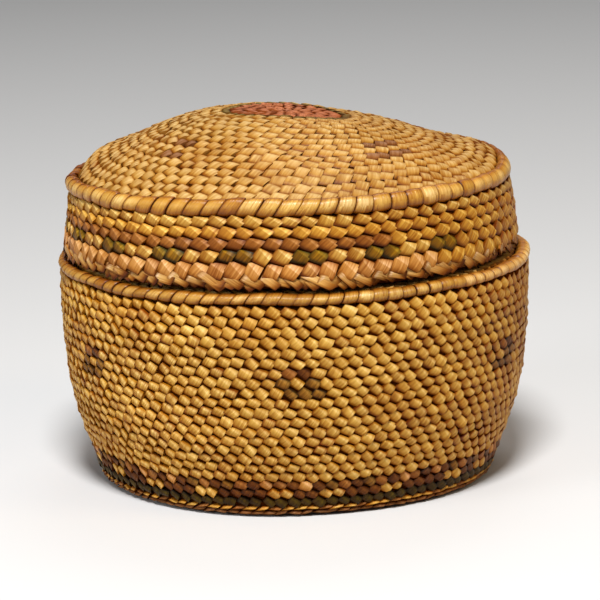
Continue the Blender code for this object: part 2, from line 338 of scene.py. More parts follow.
def marked(tree, points, course, turn, shade):
    """Stores on each point what the dye and the fibres read later."""
    for name, value in (("course", course), ("turn", turn), ("shade", shade)):
        points = node(tree, "GeometryNodeStoreNamedAttribute", {
            "Geometry": points, "Name": name, "Value": value,
        }, data_type="FLOAT", domain="POINT").outputs[0]
    return points


def copies_on(tree, points, piece, rotation, size, material):
    """A real copy of a piece on each point, with its material."""
    laid = node(tree, "GeometryNodeInstanceOnPoints", {
        "Points": points, "Instance": shape_of(tree, piece), "Rotation": rotation, "Scale": size})
    real = node(tree, "GeometryNodeRealizeInstances", {0: laid.outputs[0]}).outputs[0]
    return node(tree, "GeometryNodeSetMaterial", {
        "Geometry": real, "Material": material}).outputs[0]


print("shared nodes are ready")


# %% The tree that lays the courses
def stitch_counts(tree, inputs):
    """Which course a stitch is in, and how far round it sits as a share of a turn."""
    around = inputs["Stitches"]
    index = node(tree, "GeometryNodeInputIndex").outputs[0]
    course = calc(tree, "FLOOR", calc(tree, "DIVIDE", calc(tree, "ADD", index, 0.5), around))
    place = calc(tree, "SUBTRACT", index, calc(tree, "MULTIPLY", course, around))
    start = calc(tree, "MULTIPLY", 0.5, calc(tree, "ADD", course, inputs["First Course"]))
    slip = calc(tree, "MULTIPLY", chance(tree, inputs["Seed"], 11, -SLIP, SLIP),
                inputs["Looseness"])
    steps = calc(tree, "ADD", calc(tree, "ADD", place, start), slip)
    return course, calc(tree, "DIVIDE", steps, around)


def courses_tree():
    tree, inputs, sockets = new_tree("twined courses", "GeometryNodeTree", [
        ("Profile", "Object", None), ("Stitch", "Object", None), ("Backing", "Object", None),
        ("Stitches", "Int", 108), ("Courses", "Int", 1), ("First Course", "Int", 0),
        ("Height", "Float", 0.0006), ("Looseness", "Float", 1.0), ("Seed", "Int", 1),
        ("Clear Square", "Float", 0.0), ("Lean", "Float", 0.0), ("Material", "Material", None),
    ], [("Geometry", "Geometry")])
    around, rows, seed = inputs["Stitches"], inputs["Courses"], inputs["Seed"]
    loose = inputs["Looseness"]
    points = node(tree, "GeometryNodePoints", {0: calc(tree, "MULTIPLY", around, rows)}).outputs[0]
    course, turn = stitch_counts(tree, inputs)
    angle = calc(tree, "MULTIPLY", turn, math.tau)

    line = shape_of(tree, inputs["Profile"])
    along = calc(tree, "DIVIDE", calc(tree, "ADD", course, 0.5), rows)
    sample = node(tree, "GeometryNodeSampleCurve", {"Curves": line, "Factor": along},
                  mode="FACTOR", use_all_curves=True).outputs

    def spun(vector):
        return node(tree, "ShaderNodeVectorRotate", {0: vector, "Angle": angle},
                    rotation_type="Z_AXIS").outputs[0]

    right = spun((0.0, 1.0, 0.0))
    out = vectors(tree, "CROSS_PRODUCT", right, spun(sample["Tangent"]))
    facing = node(tree, "FunctionNodeAxesToRotation", {0: out, 1: right}, primary_axis="Z",
                  secondary_axis="X").outputs[0]
    tilt = scaled(tree, chance(tree, seed, 23, tuple(-most for most in TILT), TILT), loose)
    aside = calc(tree, "MULTIPLY", calc(tree, "COSINE", angle), -1.0)
    leaning = joined(tree, 0.0, 0.0, calc(tree, "MULTIPLY", aside, inputs["Lean"]))
    unevenness = node(tree, "FunctionNodeEulerToRotation", {
        0: vectors(tree, "ADD", tilt, leaning)}).outputs[0]
    turned = node(tree, "FunctionNodeRotateRotation", {0: facing, 1: unevenness},
                  rotation_space="LOCAL").outputs[0]

    radius = parts_of(tree, sample["Position"])[0]
    cell = calc(tree, "DIVIDE", calc(tree, "MULTIPLY", radius, math.tau), around)
    reach = node(tree, "GeometryNodeCurveLength", {0: line}).outputs[0]
    size = vectors(tree, "MULTIPLY",
                   joined(tree, cell, calc(tree, "DIVIDE", reach, rows), inputs["Height"]),
                   chance(tree, seed, 37, SMALLEST, LARGEST))
    lift = scaled(tree, out, calc(tree, "MULTIPLY", chance(tree, seed, 41, SUNK, RAISED), loose))
    placed = node(tree, "GeometryNodeSetPosition", {
        "Geometry": points,
        "Position": vectors(tree, "ADD", spun(sample["Position"]), lift)}).outputs[0]
    placed = marked(tree, placed, course, turn, chance(tree, seed, 53))
    spot = parts_of(tree, node(tree, "GeometryNodeInputPosition").outputs[0])
    reach = calc(tree, "MAXIMUM", calc(tree, "ABSOLUTE", spot[0]), calc(tree, "ABSOLUTE", spot[1]))
    placed = node(tree, "GeometryNodeDeleteGeometry", {
        0: placed, "Selection": calc(tree, "LESS_THAN", reach, inputs["Clear Square"]),
    }, domain="POINT").outputs[0]
    stitches = copies_on(tree, placed, inputs["Stitch"], turned, size, inputs["Material"])
    both = node(tree, "GeometryNodeJoinGeometry")
    tree.links.new(shape_of(tree, inputs["Backing"]), both.inputs[0])
    tree.links.new(stitches, both.inputs[0])
    tree.links.new(both.outputs[0], tree.nodes.new("NodeGroupOutput").inputs[0])
    return tree, sockets


courses, course_sockets = courses_tree()
print("the courses tree has", len(courses.nodes), "nodes")

# %% [markdown]
# ## Copies round the axis
#
# A stake follows its whole profile, so it needs no place along it, only a turn about the axis. A
# second, shorter tree sets copies of such a piece side by side. It could be an Array modifier
# with an empty for its turn, but then the copies would be too even, and they couldn't carry their
# own shade.


# %% The tree that sets copies round the axis
def ring_tree():
    """Copies of a piece that already lies at angle zero, such as a stake that follows a profile."""
    tree, inputs, sockets = new_tree("copies round the axis", "GeometryNodeTree", [
        ("Piece", "Object", None), ("Copies", "Int", 108), ("Slip", "Float", 0.1),
        ("Seed", "Int", 1), ("Material", "Material", None),
    ], [("Geometry", "Geometry")])
    points = node(tree, "GeometryNodePoints", {0: inputs["Copies"]}).outputs[0]
    slip = calc(tree, "MULTIPLY", chance(tree, inputs["Seed"], 5, -0.5, 0.5), inputs["Slip"])
    index = node(tree, "GeometryNodeInputIndex").outputs[0]
    turn = calc(tree, "DIVIDE", calc(tree, "ADD", index, slip), inputs["Copies"])
    points = marked(tree, points, 0.0, turn, chance(tree, inputs["Seed"], 7))
    facing = node(tree, "FunctionNodeEulerToRotation", {
        0: joined(tree, 0.0, 0.0, calc(tree, "MULTIPLY", turn, math.tau))}).outputs[0]
    stakes = copies_on(tree, points, inputs["Piece"], facing, (1.0, 1.0, 1.0), inputs["Material"])
    tree.links.new(stakes, tree.nodes.new("NodeGroupOutput").inputs[0])
    return tree, sockets


copies, copy_sockets = ring_tree()
print("the ring tree has", len(copies.nodes), "nodes")

# %% [markdown]
# ## From tree to mesh
#
# A modifier runs the tree, and its result is copied out as a plain mesh, so that nothing live is
# left. Behind the stitches lies the hidden strand that they wrap. It is a turned ring with a rib
# for each course, and it closes the gaps with painted shade, coloured near black. A profile is
# given to the tree as a curve.

# %% The hidden strand behind the stitches
ROUND_STEPS = 144
BACKING_NEAR, BACKING_FAR, BACKING_RIB = 0.00066, 0.00118, 0.00010
RIB_STEPS = 4
SAME_PLACE = 1e-7


def offset_line(points, depth):
    """A profile moved towards the inside by a depth, or by one depth for each point."""
    line = np.array(points, dtype=float)
    way = np.gradient(line, axis=0)
    way /= np.linalg.norm(way, axis=1)[:, None]
    inward = np.column_stack([-way[:, 1], way[:, 0]])
    moved = line + inward * np.atleast_1d(depth)[:, None]
    moved[:, 0] = np.maximum(moved[:, 0], 0.0)
    return moved


def mark(mesh, **values):
    """Gives every point of a mesh the same values for the dye to read."""
    for label, value in values.items():
        layer = mesh.attributes.new(label, "FLOAT", "POINT")
        layer.data.foreach_set("value", np.full(len(mesh.vertices), value))


def turned_mesh(name, section):
    """Turns a closed section, listed anticlockwise with the radius across, about the Z axis."""
    section = np.array(section)
    count = len(section)
    angles = np.arange(ROUND_STEPS) * math.tau / ROUND_STEPS
    points = np.stack([
        np.outer(np.cos(angles), section[:, 0]), np.outer(np.sin(angles), section[:, 0]),
        np.tile(section[:, 1], (ROUND_STEPS, 1)),
    ], axis=-1).reshape(-1, 3)
    faces = []
    for step in range(ROUND_STEPS):
        here, there = step * count, (step + 1) % ROUND_STEPS * count
        for index in range(count):
            after = (index + 1) % count
            faces.append((here + index, there + index, there + after, here + after))
    raw = bpy.data.meshes.new("unmerged")
    raw.from_pydata(points.tolist(), [], faces)
    form = bmesh.new()
    form.from_mesh(raw)
    bpy.data.meshes.remove(raw)
    bmesh.ops.remove_doubles(form, verts=form.verts, dist=SAME_PLACE)
    bmesh.ops.dissolve_degenerate(form, edges=form.edges, dist=SAME_PLACE)
    mesh = closed_mesh(form, name)
    mesh.shade_smooth()
    mark(mesh, course=-1.0, turn=0.0, shade=0.5)
    mesh.uv_layers.new(name="UVMap")
    return mesh


def backing_mesh(name, line, rows):
    """The hidden strand behind some courses, with one rib each."""
    steps = rows * RIB_STEPS
    stretch = part_of(line, 0.0, length_of(line), steps)
    ribs = 1.0 - np.abs(np.sin(np.pi * np.arange(steps + 1) / RIB_STEPS))
    outer = offset_line(stretch, BACKING_NEAR + BACKING_RIB * ribs)
    inner = offset_line(stretch, BACKING_FAR)
    mesh = turned_mesh(name, np.concatenate([outer, inner[::-1]]))
    mesh.materials.append(hidden_strand)
    return mesh


print("a backing ring has", ROUND_STEPS, "steps round and", RIB_STEPS, "for each rib")


# %% Helpers that run the tree
def drop(*things):
    for thing in things:
        bpy.data.objects.remove(thing, do_unlink=True)


def curve_object(name, points):
    data = bpy.data.curves.new(name, "CURVE")
    data.dimensions = "3D"
    spline = data.splines.new("POLY")
    spline.points.add(len(points) - 1)
    for point, (radius, height) in zip(spline.points, points):
        point.co = (radius, 0.0, height, 1.0)
    return scene_object(name, data)


def run_tree(name, tree, sockets, values):
    """Evaluates a tree on an object of its own and returns an object with the plain mesh."""
    host = scene_object(name, bpy.data.meshes.new(name))
    modifier = host.modifiers.new(tree.name, "NODES")
    modifier.node_group = tree
    for label, value in values.items():
        modifier[sockets[label]] = value
    host.update_tag()
    graph = bpy.context.evaluated_depsgraph_get()
    mesh = bpy.data.meshes.new_from_object(host.evaluated_get(graph), depsgraph=graph)
    drop(host)
    mesh.name = name
    return scene_object(name, mesh)


def lay_courses(name, line, stitch, zones, first=0, height=0.0008, looseness=1.0, seed=1,
                backing=None, clear=0.0, lean=0.0, material=None):
    """Stitches along a profile. zones lists, for each run, how many courses and how many round."""
    total = sum(rows for rows, _ in zones)
    laid = scene_object(name + "_backing", backing or backing_mesh(name + "_backing", line, total))
    done = 0
    reach = length_of(line)
    for rows, around in zones:
        stretch = part_of(line, reach * done / total, reach * (done + rows) / total)
        profile = curve_object(name + "_profile", stretch)
        grown = run_tree(name, courses, course_sockets, {
            "Profile": profile, "Stitch": stitch, "Backing": laid, "Stitches": around,
            "Courses": rows, "First Course": first + done, "Height": height,
            "Looseness": looseness, "Seed": seed + done, "Clear Square": clear, "Lean": lean,
            "Material": material or grass,
        })
        drop(profile, laid)
        laid = grown
        done += rows
    laid.name = laid.data.name = name
    return laid


print("the courses tree takes", len(course_sockets), "inputs")

# %% [markdown]
# ## Dyes
#
# Undyed grass is straw gold, and no two strands match. The dyed strands were purple, green and
# red once and have gone brown, olive and rose. Each stitch gets its own colour, written to a
# colour attribute on the mesh, and a second one for its crest, which is partly rubbed bare and
# partly a painted highlight. It could be random in the shader, but the bands and spots follow
# counts of stitches, which are easy to state here.
#
# Age has changed the colours too: broad patches are duller, and a few single strands stand out
# pale or dark. Painted light is added as well. The sides and the back are painted a deeper gold
# than the front, as painted shade, a pale band under the shoulder is painted light over the shade
# that falls there, and a darker band lies below it.


# %% Dye table
def linear(red, green, blue):
    """A colour from a picture, 0 to 255, as the shader's light values."""
    parts = np.array([red, green, blue]) / 255.0
    return np.where(parts <= 0.04045, parts / 12.92, ((parts + 0.055) / 1.055) ** 2.4)


DYES = {
    "straw": [(147, 92, 15), (172, 124, 36), (197, 157, 79)],
    "golden": [(164, 108, 26), (182, 132, 42), (196, 148, 60)],
    "coil": [(178, 128, 44), (196, 150, 66), (210, 170, 94)],
    # The shoulder coil's tones, next, are darker than the lid coil's, as painted shade.
    "worn_coil": [(150, 102, 32), (170, 124, 48), (188, 146, 72)],
    # The pale tones, next, are painted light, for the ledge and the shoulder's right side.
    "pale": [(202, 162, 96), (212, 174, 110), (220, 184, 124)],
    "top": [(156, 109, 42), (174, 132, 61), (186, 148, 83)],
    "rose_brown": [(100, 58, 22), (126, 78, 32), (148, 98, 44)],
    "rose": [(136, 82, 42), (170, 117, 62), (194, 146, 86)],
    "red": [(112, 60, 28), (144, 82, 46), (162, 98, 58)],
    "olive": [(54, 54, 14), (74, 70, 18), (98, 84, 22)],
    "dark_green": [(20, 13, 0), (32, 22, 0), (54, 38, 0)],
    "brown": [(46, 20, 0), (66, 32, 2), (94, 52, 8)],
    "faded": [(44, 28, 3), (66, 46, 6), (94, 66, 14)],
    "dusky": [(92, 56, 30), (114, 74, 40), (136, 92, 54)],
    "moss": [(78, 60, 12), (100, 78, 24), (122, 96, 38)],
    "bark": [(98, 58, 26), (116, 74, 34), (134, 88, 44)],
    "hem": [(126, 80, 36), (156, 110, 58), (184, 142, 90)],
    "shadow": [(44, 18, 0), (44, 18, 0), (44, 18, 0)],
}
# What each dye shows at its crest: partly rubbed bare, partly a painted highlight.
RUBBED_LIT = {
    "rose_brown": (160, 106, 50), "rose": (202, 152, 94), "red": (190, 118, 80),
    "olive": (148, 106, 20), "dark_green": (76, 58, 6), "brown": (112, 64, 20),
    "faded": (150, 104, 38), "hem": (208, 172, 120),
}
RUBBED_LIT_PALER = (1.10, 1.20, 1.50)
DYE_VALUES = {name: np.array([linear(*tone) for tone in tones]) for name, tones in DYES.items()}
print(len(DYES), "dyes,", len(RUBBED_LIT), "of them with a colour of their own where rubbed")

# %% Ageing and painted light
# FRONT is a share of a turn, levels are in metres, and triples are for red, green and blue.
FRONT = 0.75
# The sides and back are painted darker and warmer by these shares, as painted shade.
SIDE_SHADE_LITTLE, SIDE_SHADE_ON_WALL = (0.02, 0.08, 0.24), (0.05, 0.20, 0.66)
ROW_SHADE, ROW_HUE = (0.94, 1.05), (0.98, 1.02)
PATCHY = (0.01, 0.035, 0.09)
# A band just under the shoulder is painted paler, as painted light over the shade cast there.
SHOULDER_LIGHT, SHOULDER_LIGHT_FROM, SHOULDER_LIGHT_TO = (0.16, 0.24, 0.45), 0.0325, 0.0405
DUSK, DUSK_LEVEL, DUSK_WIDTH = 0.14, 0.0290, 0.0045
PALE_STRAND, DARK_STRAND = (1.08, 1.14, 1.30), (0.86, 0.74, 0.60)
PALE_ABOVE, DARK_BELOW = 0.95, 0.03


def hump(value, middle, width):
    return np.exp(-(((value - middle) / width) ** 2))


def rise(value, start, reach):
    """Nothing up to start, then one after a steady rise over reach."""
    return np.clip((value - start) / reach, 0.0, 1.0)


def age_and_painted_light(course, turn, level, seed, side_shade):
    """What dust and handling do to each point's colour, plus painted shade and painted light."""
    rows = np.maximum(course, 0).astype(int)
    draw = np.random.default_rng(seed)
    tint = draw.uniform(*ROW_SHADE, (rows.max() + 1, 1))
    tint = tint * draw.uniform(*ROW_HUE, (rows.max() + 1, 3))
    waves = 1.0 + 0.05 * np.sin(math.tau * (3.0 * turn + 0.17 * course) + seed)
    waves += 0.04 * np.sin(math.tau * (11.0 * turn - 0.29 * course) + 2.0 * seed)
    # Painted shade: the sides and the back, turned from the front, lose some of each channel.
    facing_front = np.clip(np.cos(math.tau * (turn - FRONT)), 0.0, 1.0) ** 3
    patches = np.sin(math.tau * 3.0 * turn + 170.0 * level + 0.9)
    patches += np.sin(math.tau * 5.0 * turn - 330.0 * level + 2.4)
    # Painted light: the band under the shoulder is made paler, over the shade that falls there.
    shoulder_light = rise(level, SHOULDER_LIGHT_FROM, 0.004) * (level < SHOULDER_LIGHT_TO)
    changed = tint[rows] * waves[:, None]
    changed *= 1.0 - (1.0 - facing_front)[:, None] * side_shade
    changed *= 1.0 + patches[:, None] * PATCHY
    changed *= 1.0 + shoulder_light[:, None] * SHOULDER_LIGHT
    return changed * (1.0 - DUSK * hump(level, DUSK_LEVEL, DUSK_WIDTH))[:, None]


print("the wall is driest from", SHOULDER_LIGHT_FROM * 1000, "to", SHOULDER_LIGHT_TO * 1000, "mm up")


# %% Dyeing
def numbers(mesh, name):
    values = np.empty(len(mesh.vertices), dtype=np.float32)
    mesh.attributes[name].data.foreach_get("value", values)
    return values


def places(mesh):
    """Every point of a mesh, one row each."""
    flat = np.empty(len(mesh.vertices) * 3)
    mesh.vertices.foreach_get("co", flat)
    return flat.reshape(-1, 3)


def move_to(mesh, points):
    mesh.vertices.foreach_set("co", points.ravel())
    mesh.update()


def dye(piece, pattern, seed=0, side_shade=SIDE_SHADE_LITTLE):
    """Colours each stitch. pattern gives the dye's name for courses and turns."""
    mesh = piece.data
    course, turn, shade = (numbers(mesh, name) for name in ("course", "turn", "shade"))
    names = pattern(course, turn % 1.0)
    colours = np.ones((len(mesh.vertices), 4), dtype=np.float32)
    rubbed_lit = colours.copy()
    for name in map(str, np.unique(names)):
        tones = DYE_VALUES[name]
        chosen = names == name
        for channel in range(3):
            colours[chosen, channel] = np.interp(shade[chosen], (0.0, 0.5, 1.0), tones[:, channel])
        # Unlisted dyes take their lightest tone, made paler and creamier, as a painted highlight.
        bare_and_lit = linear(*RUBBED_LIT[name]) if name in RUBBED_LIT else tones[2] * RUBBED_LIT_PALER
        rubbed_lit[chosen, :3] = bare_and_lit
    # This adds painted shade on the sides and back and painted light under the shoulder.
    colours[:, :3] *= age_and_painted_light(course, turn, places(mesh)[:, 2], seed, side_shade)
    colours[shade > PALE_ABOVE, :3] *= PALE_STRAND
    colours[shade < DARK_BELOW, :3] *= DARK_STRAND
    colours[course < 0, :3] = DYE_VALUES["shadow"][0]
    # The second colour is the crest's: partly rubbed bare, partly a painted highlight.
    for label, values in (("dye", colours), ("rubbed_lit", rubbed_lit)):
        layer = mesh.attributes.new(label, "FLOAT_COLOR", "POINT")
        layer.data.foreach_set("color", values.ravel())


def plain(name):
    """A pattern with one dye all round."""
    return lambda course, turn: np.full(len(course), name)


print("straw runs from", *DYE_VALUES["straw"][0].round(3), "to", *DYE_VALUES["straw"][2].round(3))

# %% [markdown]
# ## Grass and bark
#
# Both materials use one shared group for fibres: long streaks that run along a strand, made from
# noise that is stretched across the strand's own UV map. It could be painted on an image, but
# noise stays sharp at any distance and differs from strand to strand. Grass is smooth and a
# little glossy. Its crest has a pale painted highlight, partly rubbed bare, and its ends
# and edges are painted with brown shade where it dives into the weave. Bark is duller and
# rougher.


# %% Shared fibre group
STREAK_DARK, STREAK_LIGHT = (0.64, 0.45, 0.18, 1.0), (1.14, 1.17, 1.22, 1.0)
STREAK_FROM, STREAK_TO = 0.34, 0.66
STRAND_SPREAD = 40.0


def mix(tree, factor, first, second):
    return node(tree, "ShaderNodeMix", {0: factor, 6: first, 7: second},
                data_type="RGBA").outputs[2]


def noise(tree, place, scale, detail):
    return node(tree, "ShaderNodeTexNoise", {
        "Vector": place, "Scale": scale, "Detail": detail}).outputs[0]


def strand_uv(tree):
    """How far across a strand and how far along it a point lies."""
    return parts_of(tree, node(tree, "ShaderNodeUVMap", uv_map="UVMap").outputs[0])


def object_place(tree):
    return node(tree, "ShaderNodeTexCoord").outputs["Object"]


def fibre_group():
    tree, inputs, _ = new_tree("fibres", "ShaderNodeTree", [
        ("Across", "Float", 24.0), ("Along", "Float", 2.0), ("Shade", "Float", 0.5),
        ("Strength", "Float", 1.0),
    ], [("Tint", "Color"), ("Streak", "Float"), ("Relief", "Float")])
    across, along, _ = strand_uv(tree)
    stretched = joined(tree, calc(tree, "MULTIPLY", across, inputs["Across"]),
                       calc(tree, "MULTIPLY", along, inputs["Along"]),
                       calc(tree, "MULTIPLY", inputs["Shade"], STRAND_SPREAD))
    broad, fine = noise(tree, stretched, 0.4, 1.0), noise(tree, stretched, 1.0, 2.0)
    both = calc(tree, "ADD", calc(tree, "MULTIPLY", broad, 0.4), calc(tree, "MULTIPLY", fine, 0.6))
    streak = node(tree, "ShaderNodeMapRange", {
        0: both, 1: STREAK_FROM, 2: STREAK_TO, 3: 0.0, 4: 1.0}).outputs[0]
    colours = mix(tree, streak, STREAK_DARK, STREAK_LIGHT)
    tint = mix(tree, inputs["Strength"], (1.0, 1.0, 1.0, 1.0), colours)
    end = tree.nodes.new("NodeGroupOutput")
    for slot, value in enumerate((tint, streak, fine)):
        tree.links.new(value, end.inputs[slot])
    return tree


fibres = fibre_group()
print("the fibre group has", len(fibres.nodes), "nodes")

# %% How a strand's material is put together
STAIN_SCALE, PATCH_SCALE = 60.0, 900.0
AGE_STAIN = [(0.30, (0.82, 0.70, 0.52)), (0.52, (1.0, 1.0, 1.0)), (0.75, (1.04, 1.06, 1.10))]
CREST_ACROSS, CREST_ALONG = (0.54, 0.44), (0.52, 0.34)
STREAK_GLOSS = 0.14


def new_material(name):
    """A material, with its node tree and its shader."""
    made = bpy.data.materials.new(name)
    made.use_nodes = True
    return made, made.node_tree, made.node_tree.nodes["Principled BSDF"]


def ramp(tree, factor, stops):
    made = node(tree, "ShaderNodeValToRGB", {0: factor})
    elements = made.color_ramp.elements
    while len(elements) < len(stops):
        elements.new(0.5)
    for element, (place, colour) in zip(elements, stops):
        element.position = place
        element.color = (*colour, 1.0)
    return made.outputs[0]


def rubbed_lit_crest(tree, across, along, streak):
    """Where a strand is rubbed bare and has a painted highlight: its middle, along its fibres."""
    edges = [calc(tree, "POWER", calc(tree, "DIVIDE", calc(tree, "SUBTRACT", part, centre), width),
                  4.0) for part, (centre, width) in ((across, CREST_ACROSS), (along, CREST_ALONG))]
    crest = calc(tree, "SUBTRACT", 1.0, calc(tree, "ADD", *edges))
    return calc(tree, "MULTIPLY", calc(tree, "MAXIMUM", crest, 0.0),
                calc(tree, "MULTIPLY_ADD", streak, 0.8, 0.4))


def strand_material(name, roughness, across, along, strength, relief, lengthwise, crosswise,
                    rubbed_lit_amount=0.8, gloss=0.13):
    """lengthwise and crosswise list its painted shade and highlight, end to end, side to side."""
    made, tree, shader = new_material(name)
    dyed, bare_and_lit = (node(tree, "ShaderNodeAttribute", attribute_name=label).outputs["Color"]
                  for label in ("dye", "rubbed_lit"))
    shade = node(tree, "ShaderNodeAttribute", attribute_name="shade").outputs["Fac"]
    strand = node(tree, "ShaderNodeGroup", node_tree=fibres)
    for label, value in (("Across", across), ("Along", along), ("Strength", strength)):
        strand.inputs[label].default_value = value
    tree.links.new(shade, strand.inputs["Shade"])
    tint, streak, height = strand.outputs
    u, v, _ = strand_uv(tree)
    stain = ramp(tree, noise(tree, object_place(tree), STAIN_SCALE, 4.0), AGE_STAIN)
    # The crest's colour, partly rubbed bare and partly a painted highlight, is mixed in here.
    worn_and_lit = calc(tree, "MULTIPLY", rubbed_lit_crest(tree, u, v, streak), rubbed_lit_amount)
    colour = mix(tree, worn_and_lit, dyed, bare_and_lit)
    # Ramps along and across: painted shade and painted highlight. The stain is real.
    for layer in (tint, ramp(tree, v, lengthwise), ramp(tree, u, crosswise), stain):
        colour = vectors(tree, "MULTIPLY", colour, layer)
    tree.links.new(colour, shader.inputs["Base Color"])
    tree.links.new(calc(tree, "MULTIPLY_ADD", streak, -STREAK_GLOSS, roughness + STREAK_GLOSS / 2),
                   shader.inputs["Roughness"])
    bump = node(tree, "ShaderNodeBump", {"Height": height, "Distance": relief})
    tree.links.new(bump.outputs[0], shader.inputs["Normal"])
    shader.inputs["Specular IOR Level"].default_value = gloss
    return made


print("a strand is glossiest where its fibres are pale, by", STREAK_GLOSS)

# %% Grass and bark strands
CLEAN = [(0.0, (1.0, 1.0, 1.0)), (1.0, (1.0, 1.0, 1.0))]
# Painted shade at both sides of a strand, where it dives under its neighbours.
PAINTED_SHADE_ACROSS = [(0.09, (0.46, 0.27, 0.06)), (0.14, (0.92, 0.84, 0.68)), (0.55, (1.05, 1.05, 1.04)),
             (0.86, (1.0, 0.98, 0.94)), (0.91, (0.82, 0.67, 0.42))]
# Along each grass strand: painted shade at the ends, a painted cream highlight at the crest.
grass = strand_material(
    "grass strand", 0.42, 13.0, 1.0, 0.6, 0.00012,
    [(0.09, (0.18, 0.06, 0.0)), (0.17, (0.56, 0.35, 0.09)), (0.34, (0.86, 0.73, 0.44)),
     (0.57, (1.00, 1.00, 0.88)), (0.64, (1.14, 1.24, 1.72)), (0.80, (1.04, 1.08, 1.24)),
     (0.92, (0.84, 0.70, 0.42))], PAINTED_SHADE_ACROSS)
grass_creased = strand_material(
    "creased strand", 0.40, 13.0, 1.0, 0.9, 0.00012,
    [(0.09, (0.12, 0.04, 0.0)), (0.15, (0.50, 0.32, 0.09)), (0.30, (0.78, 0.66, 0.42)),
     (0.56, (0.91, 0.88, 0.76)), (0.60, (1.18, 1.36, 1.96)), (0.70, (1.08, 1.18, 1.50)),
     (0.86, (0.96, 0.96, 0.96)), (0.90, (0.62, 0.46, 0.24))], PAINTED_SHADE_ACROSS)
grass_pale = strand_material(
    "pale strand", 0.44, 13.0, 1.0, 0.7, 0.0001,
    [(0.09, (0.36, 0.18, 0.03)), (0.18, (0.72, 0.54, 0.26)), (0.32, (0.90, 0.82, 0.62)),
     (0.60, (1.04, 1.10, 1.34)), (0.80, (1.01, 1.06, 1.20)), (0.90, (0.68, 0.50, 0.26))],
    PAINTED_SHADE_ACROSS)
bark = strand_material("bark strip", 0.70, 14.0, 2.0, 0.8, 0.00012, CLEAN, CLEAN, rubbed_lit_amount=0.0)
print("strand materials:", grass.name, grass_creased.name, grass_pale.name, bark.name, sep="; ")


# %% The hidden strand's material
def hidden_material():
    """The fibre between the stitches, painted near black with no gloss, as painted shade."""
    made, tree, shader = new_material("hidden strand")
    patches = noise(tree, object_place(tree), PATCH_SCALE, 2.0)
    colour = mix(tree, patches, (*linear(40, 14, 0), 1.0), (*linear(78, 36, 4), 1.0))
    tree.links.new(colour, shader.inputs["Base Color"])
    shader.inputs["Roughness"].default_value = 0.95
    shader.inputs["Specular IOR Level"].default_value = 0.0
    return made


hidden_strand = hidden_material()
print("behind the stitches:", hidden_strand.name)

# %% [markdown]
# ## How the basket has settled
#
# A basket this old isn't a turned shape any more. The foot isn't quite round, and the lid sits
# low at its left end. Its dome has sunk on the right and is creased in front. At the back it
# swells over the edge coil, and it dips behind the crown, which is why the red patch makes the
# top of the outline. A simulation could crumple it, but the dents are few and known. So one
# smooth function moves every point of every piece, and neighbours stay together and clear of each
# other.

# %% Settling the body and the lid's edge
# How far each swelling or dent goes, in metres.
FOOT_WAVE, WALL_WAVE = 0.00030, 0.00018
BELLY, FOOT_FLARE, FOOT_CORNER = 0.00065, 0.00110, 0.00050
LID_LEAN = 0.00045
LOW_RIPPLE, HIGH_RIPPLE = 0.00010, 0.00009
LOW_END, SWELLING, LOW_BACK = 0.0012, 0.0014, 0.0013


def pushed_out(z, angle):
    """How far the wall stands out from its round shape."""
    foot = 1.0 - rise(z, 0.0, 0.042)
    push = FOOT_WAVE * np.cos(5.0 * angle + 3.3) * foot + WALL_WAVE * np.cos(3.0 * angle - 0.7)
    push += BELLY * hump(z, 0.012, 0.014) + FOOT_FLARE * hump(z, 0.0, 0.0045)
    return push + FOOT_CORNER * hump(z, 0.0, 0.007) * hump(angle, -2.5, 0.5)


def raised_edge(x, y, z, radius):
    """The lid's low left end, and the dome's swelling over a low coil at the back of both ends."""
    low_side = np.clip(-x / SHOULDER - 0.25, 0.0, 1.0)
    behind = rise(np.abs(x), 0.30 * SHOULDER, 0.50 * SHOULDER) * rise(y, -0.0084, 0.012)
    behind = behind * rise(z, 0.0470, 0.009)
    lift = -LOW_END * low_side * rise(z, 0.047, 0.008)
    lift += SWELLING * behind * hump(radius, 0.0375, 0.0045) * (z > 0.0550)
    return lift - LOW_BACK * behind * rise(radius, 0.0390, 0.0025)


print("the lid's left end is low by", LOW_END * 1000, "mm")

# %% Settling the dome
SAG, FRONT_SWELL, BACK_DIP, CREASE = 0.0020, 0.0007, 0.0008, 0.0005


def raised_dome(x, y, z, radius, angle):
    """The dome's sag on the right, its swell and crease in front, and its dip behind the crown."""
    sag = 0.5 * (np.tanh((x - 0.005) / 0.007) - np.tanh((x - 0.034) / 0.004))
    lift = -SAG * sag * hump(y, 0.004, 0.030)
    lift += FRONT_SWELL * hump(y, -0.013, 0.008) * hump(x, -0.003, 0.016)
    lift -= BACK_DIP * hump(radius, 0.0185, 0.0062) * hump(x, -0.001, 0.012) * rise(y, 0.0, 0.010)
    ridge = radius - 0.0265 - 0.0137 * (angle + math.radians(105.0))
    lift += CREASE * hump(ridge, 0.0, 0.0018) * hump(angle, -1.57, 0.42)
    return lift * rise(z, 0.0575, 0.009)


def settled(points):
    """Moves points by up to about two millimetres, smoothly over the whole basket."""
    x, y, z = points.T
    radius = np.hypot(x, y)
    angle = np.arctan2(y, x)
    share = np.clip(radius / SHOULDER, 0.0, 1.0)
    push = pushed_out(z, angle) * share
    lean = LID_LEAN * rise(z, 0.0425, 0.003) * rise(-z, -0.060, 0.006)
    ripple = LOW_RIPPLE * np.sin(7.0 * angle + 1.3) + HIGH_RIPPLE * np.sin(15.0 * angle - 700.0 * z)
    lift = ripple * rise(z, 0.0, 0.004) * share
    lift += raised_edge(x, y, z, radius) + raised_dome(x, y, z, radius, angle)
    return np.column_stack([x + push * np.cos(angle) + lean, y + push * np.sin(angle), z + lift])


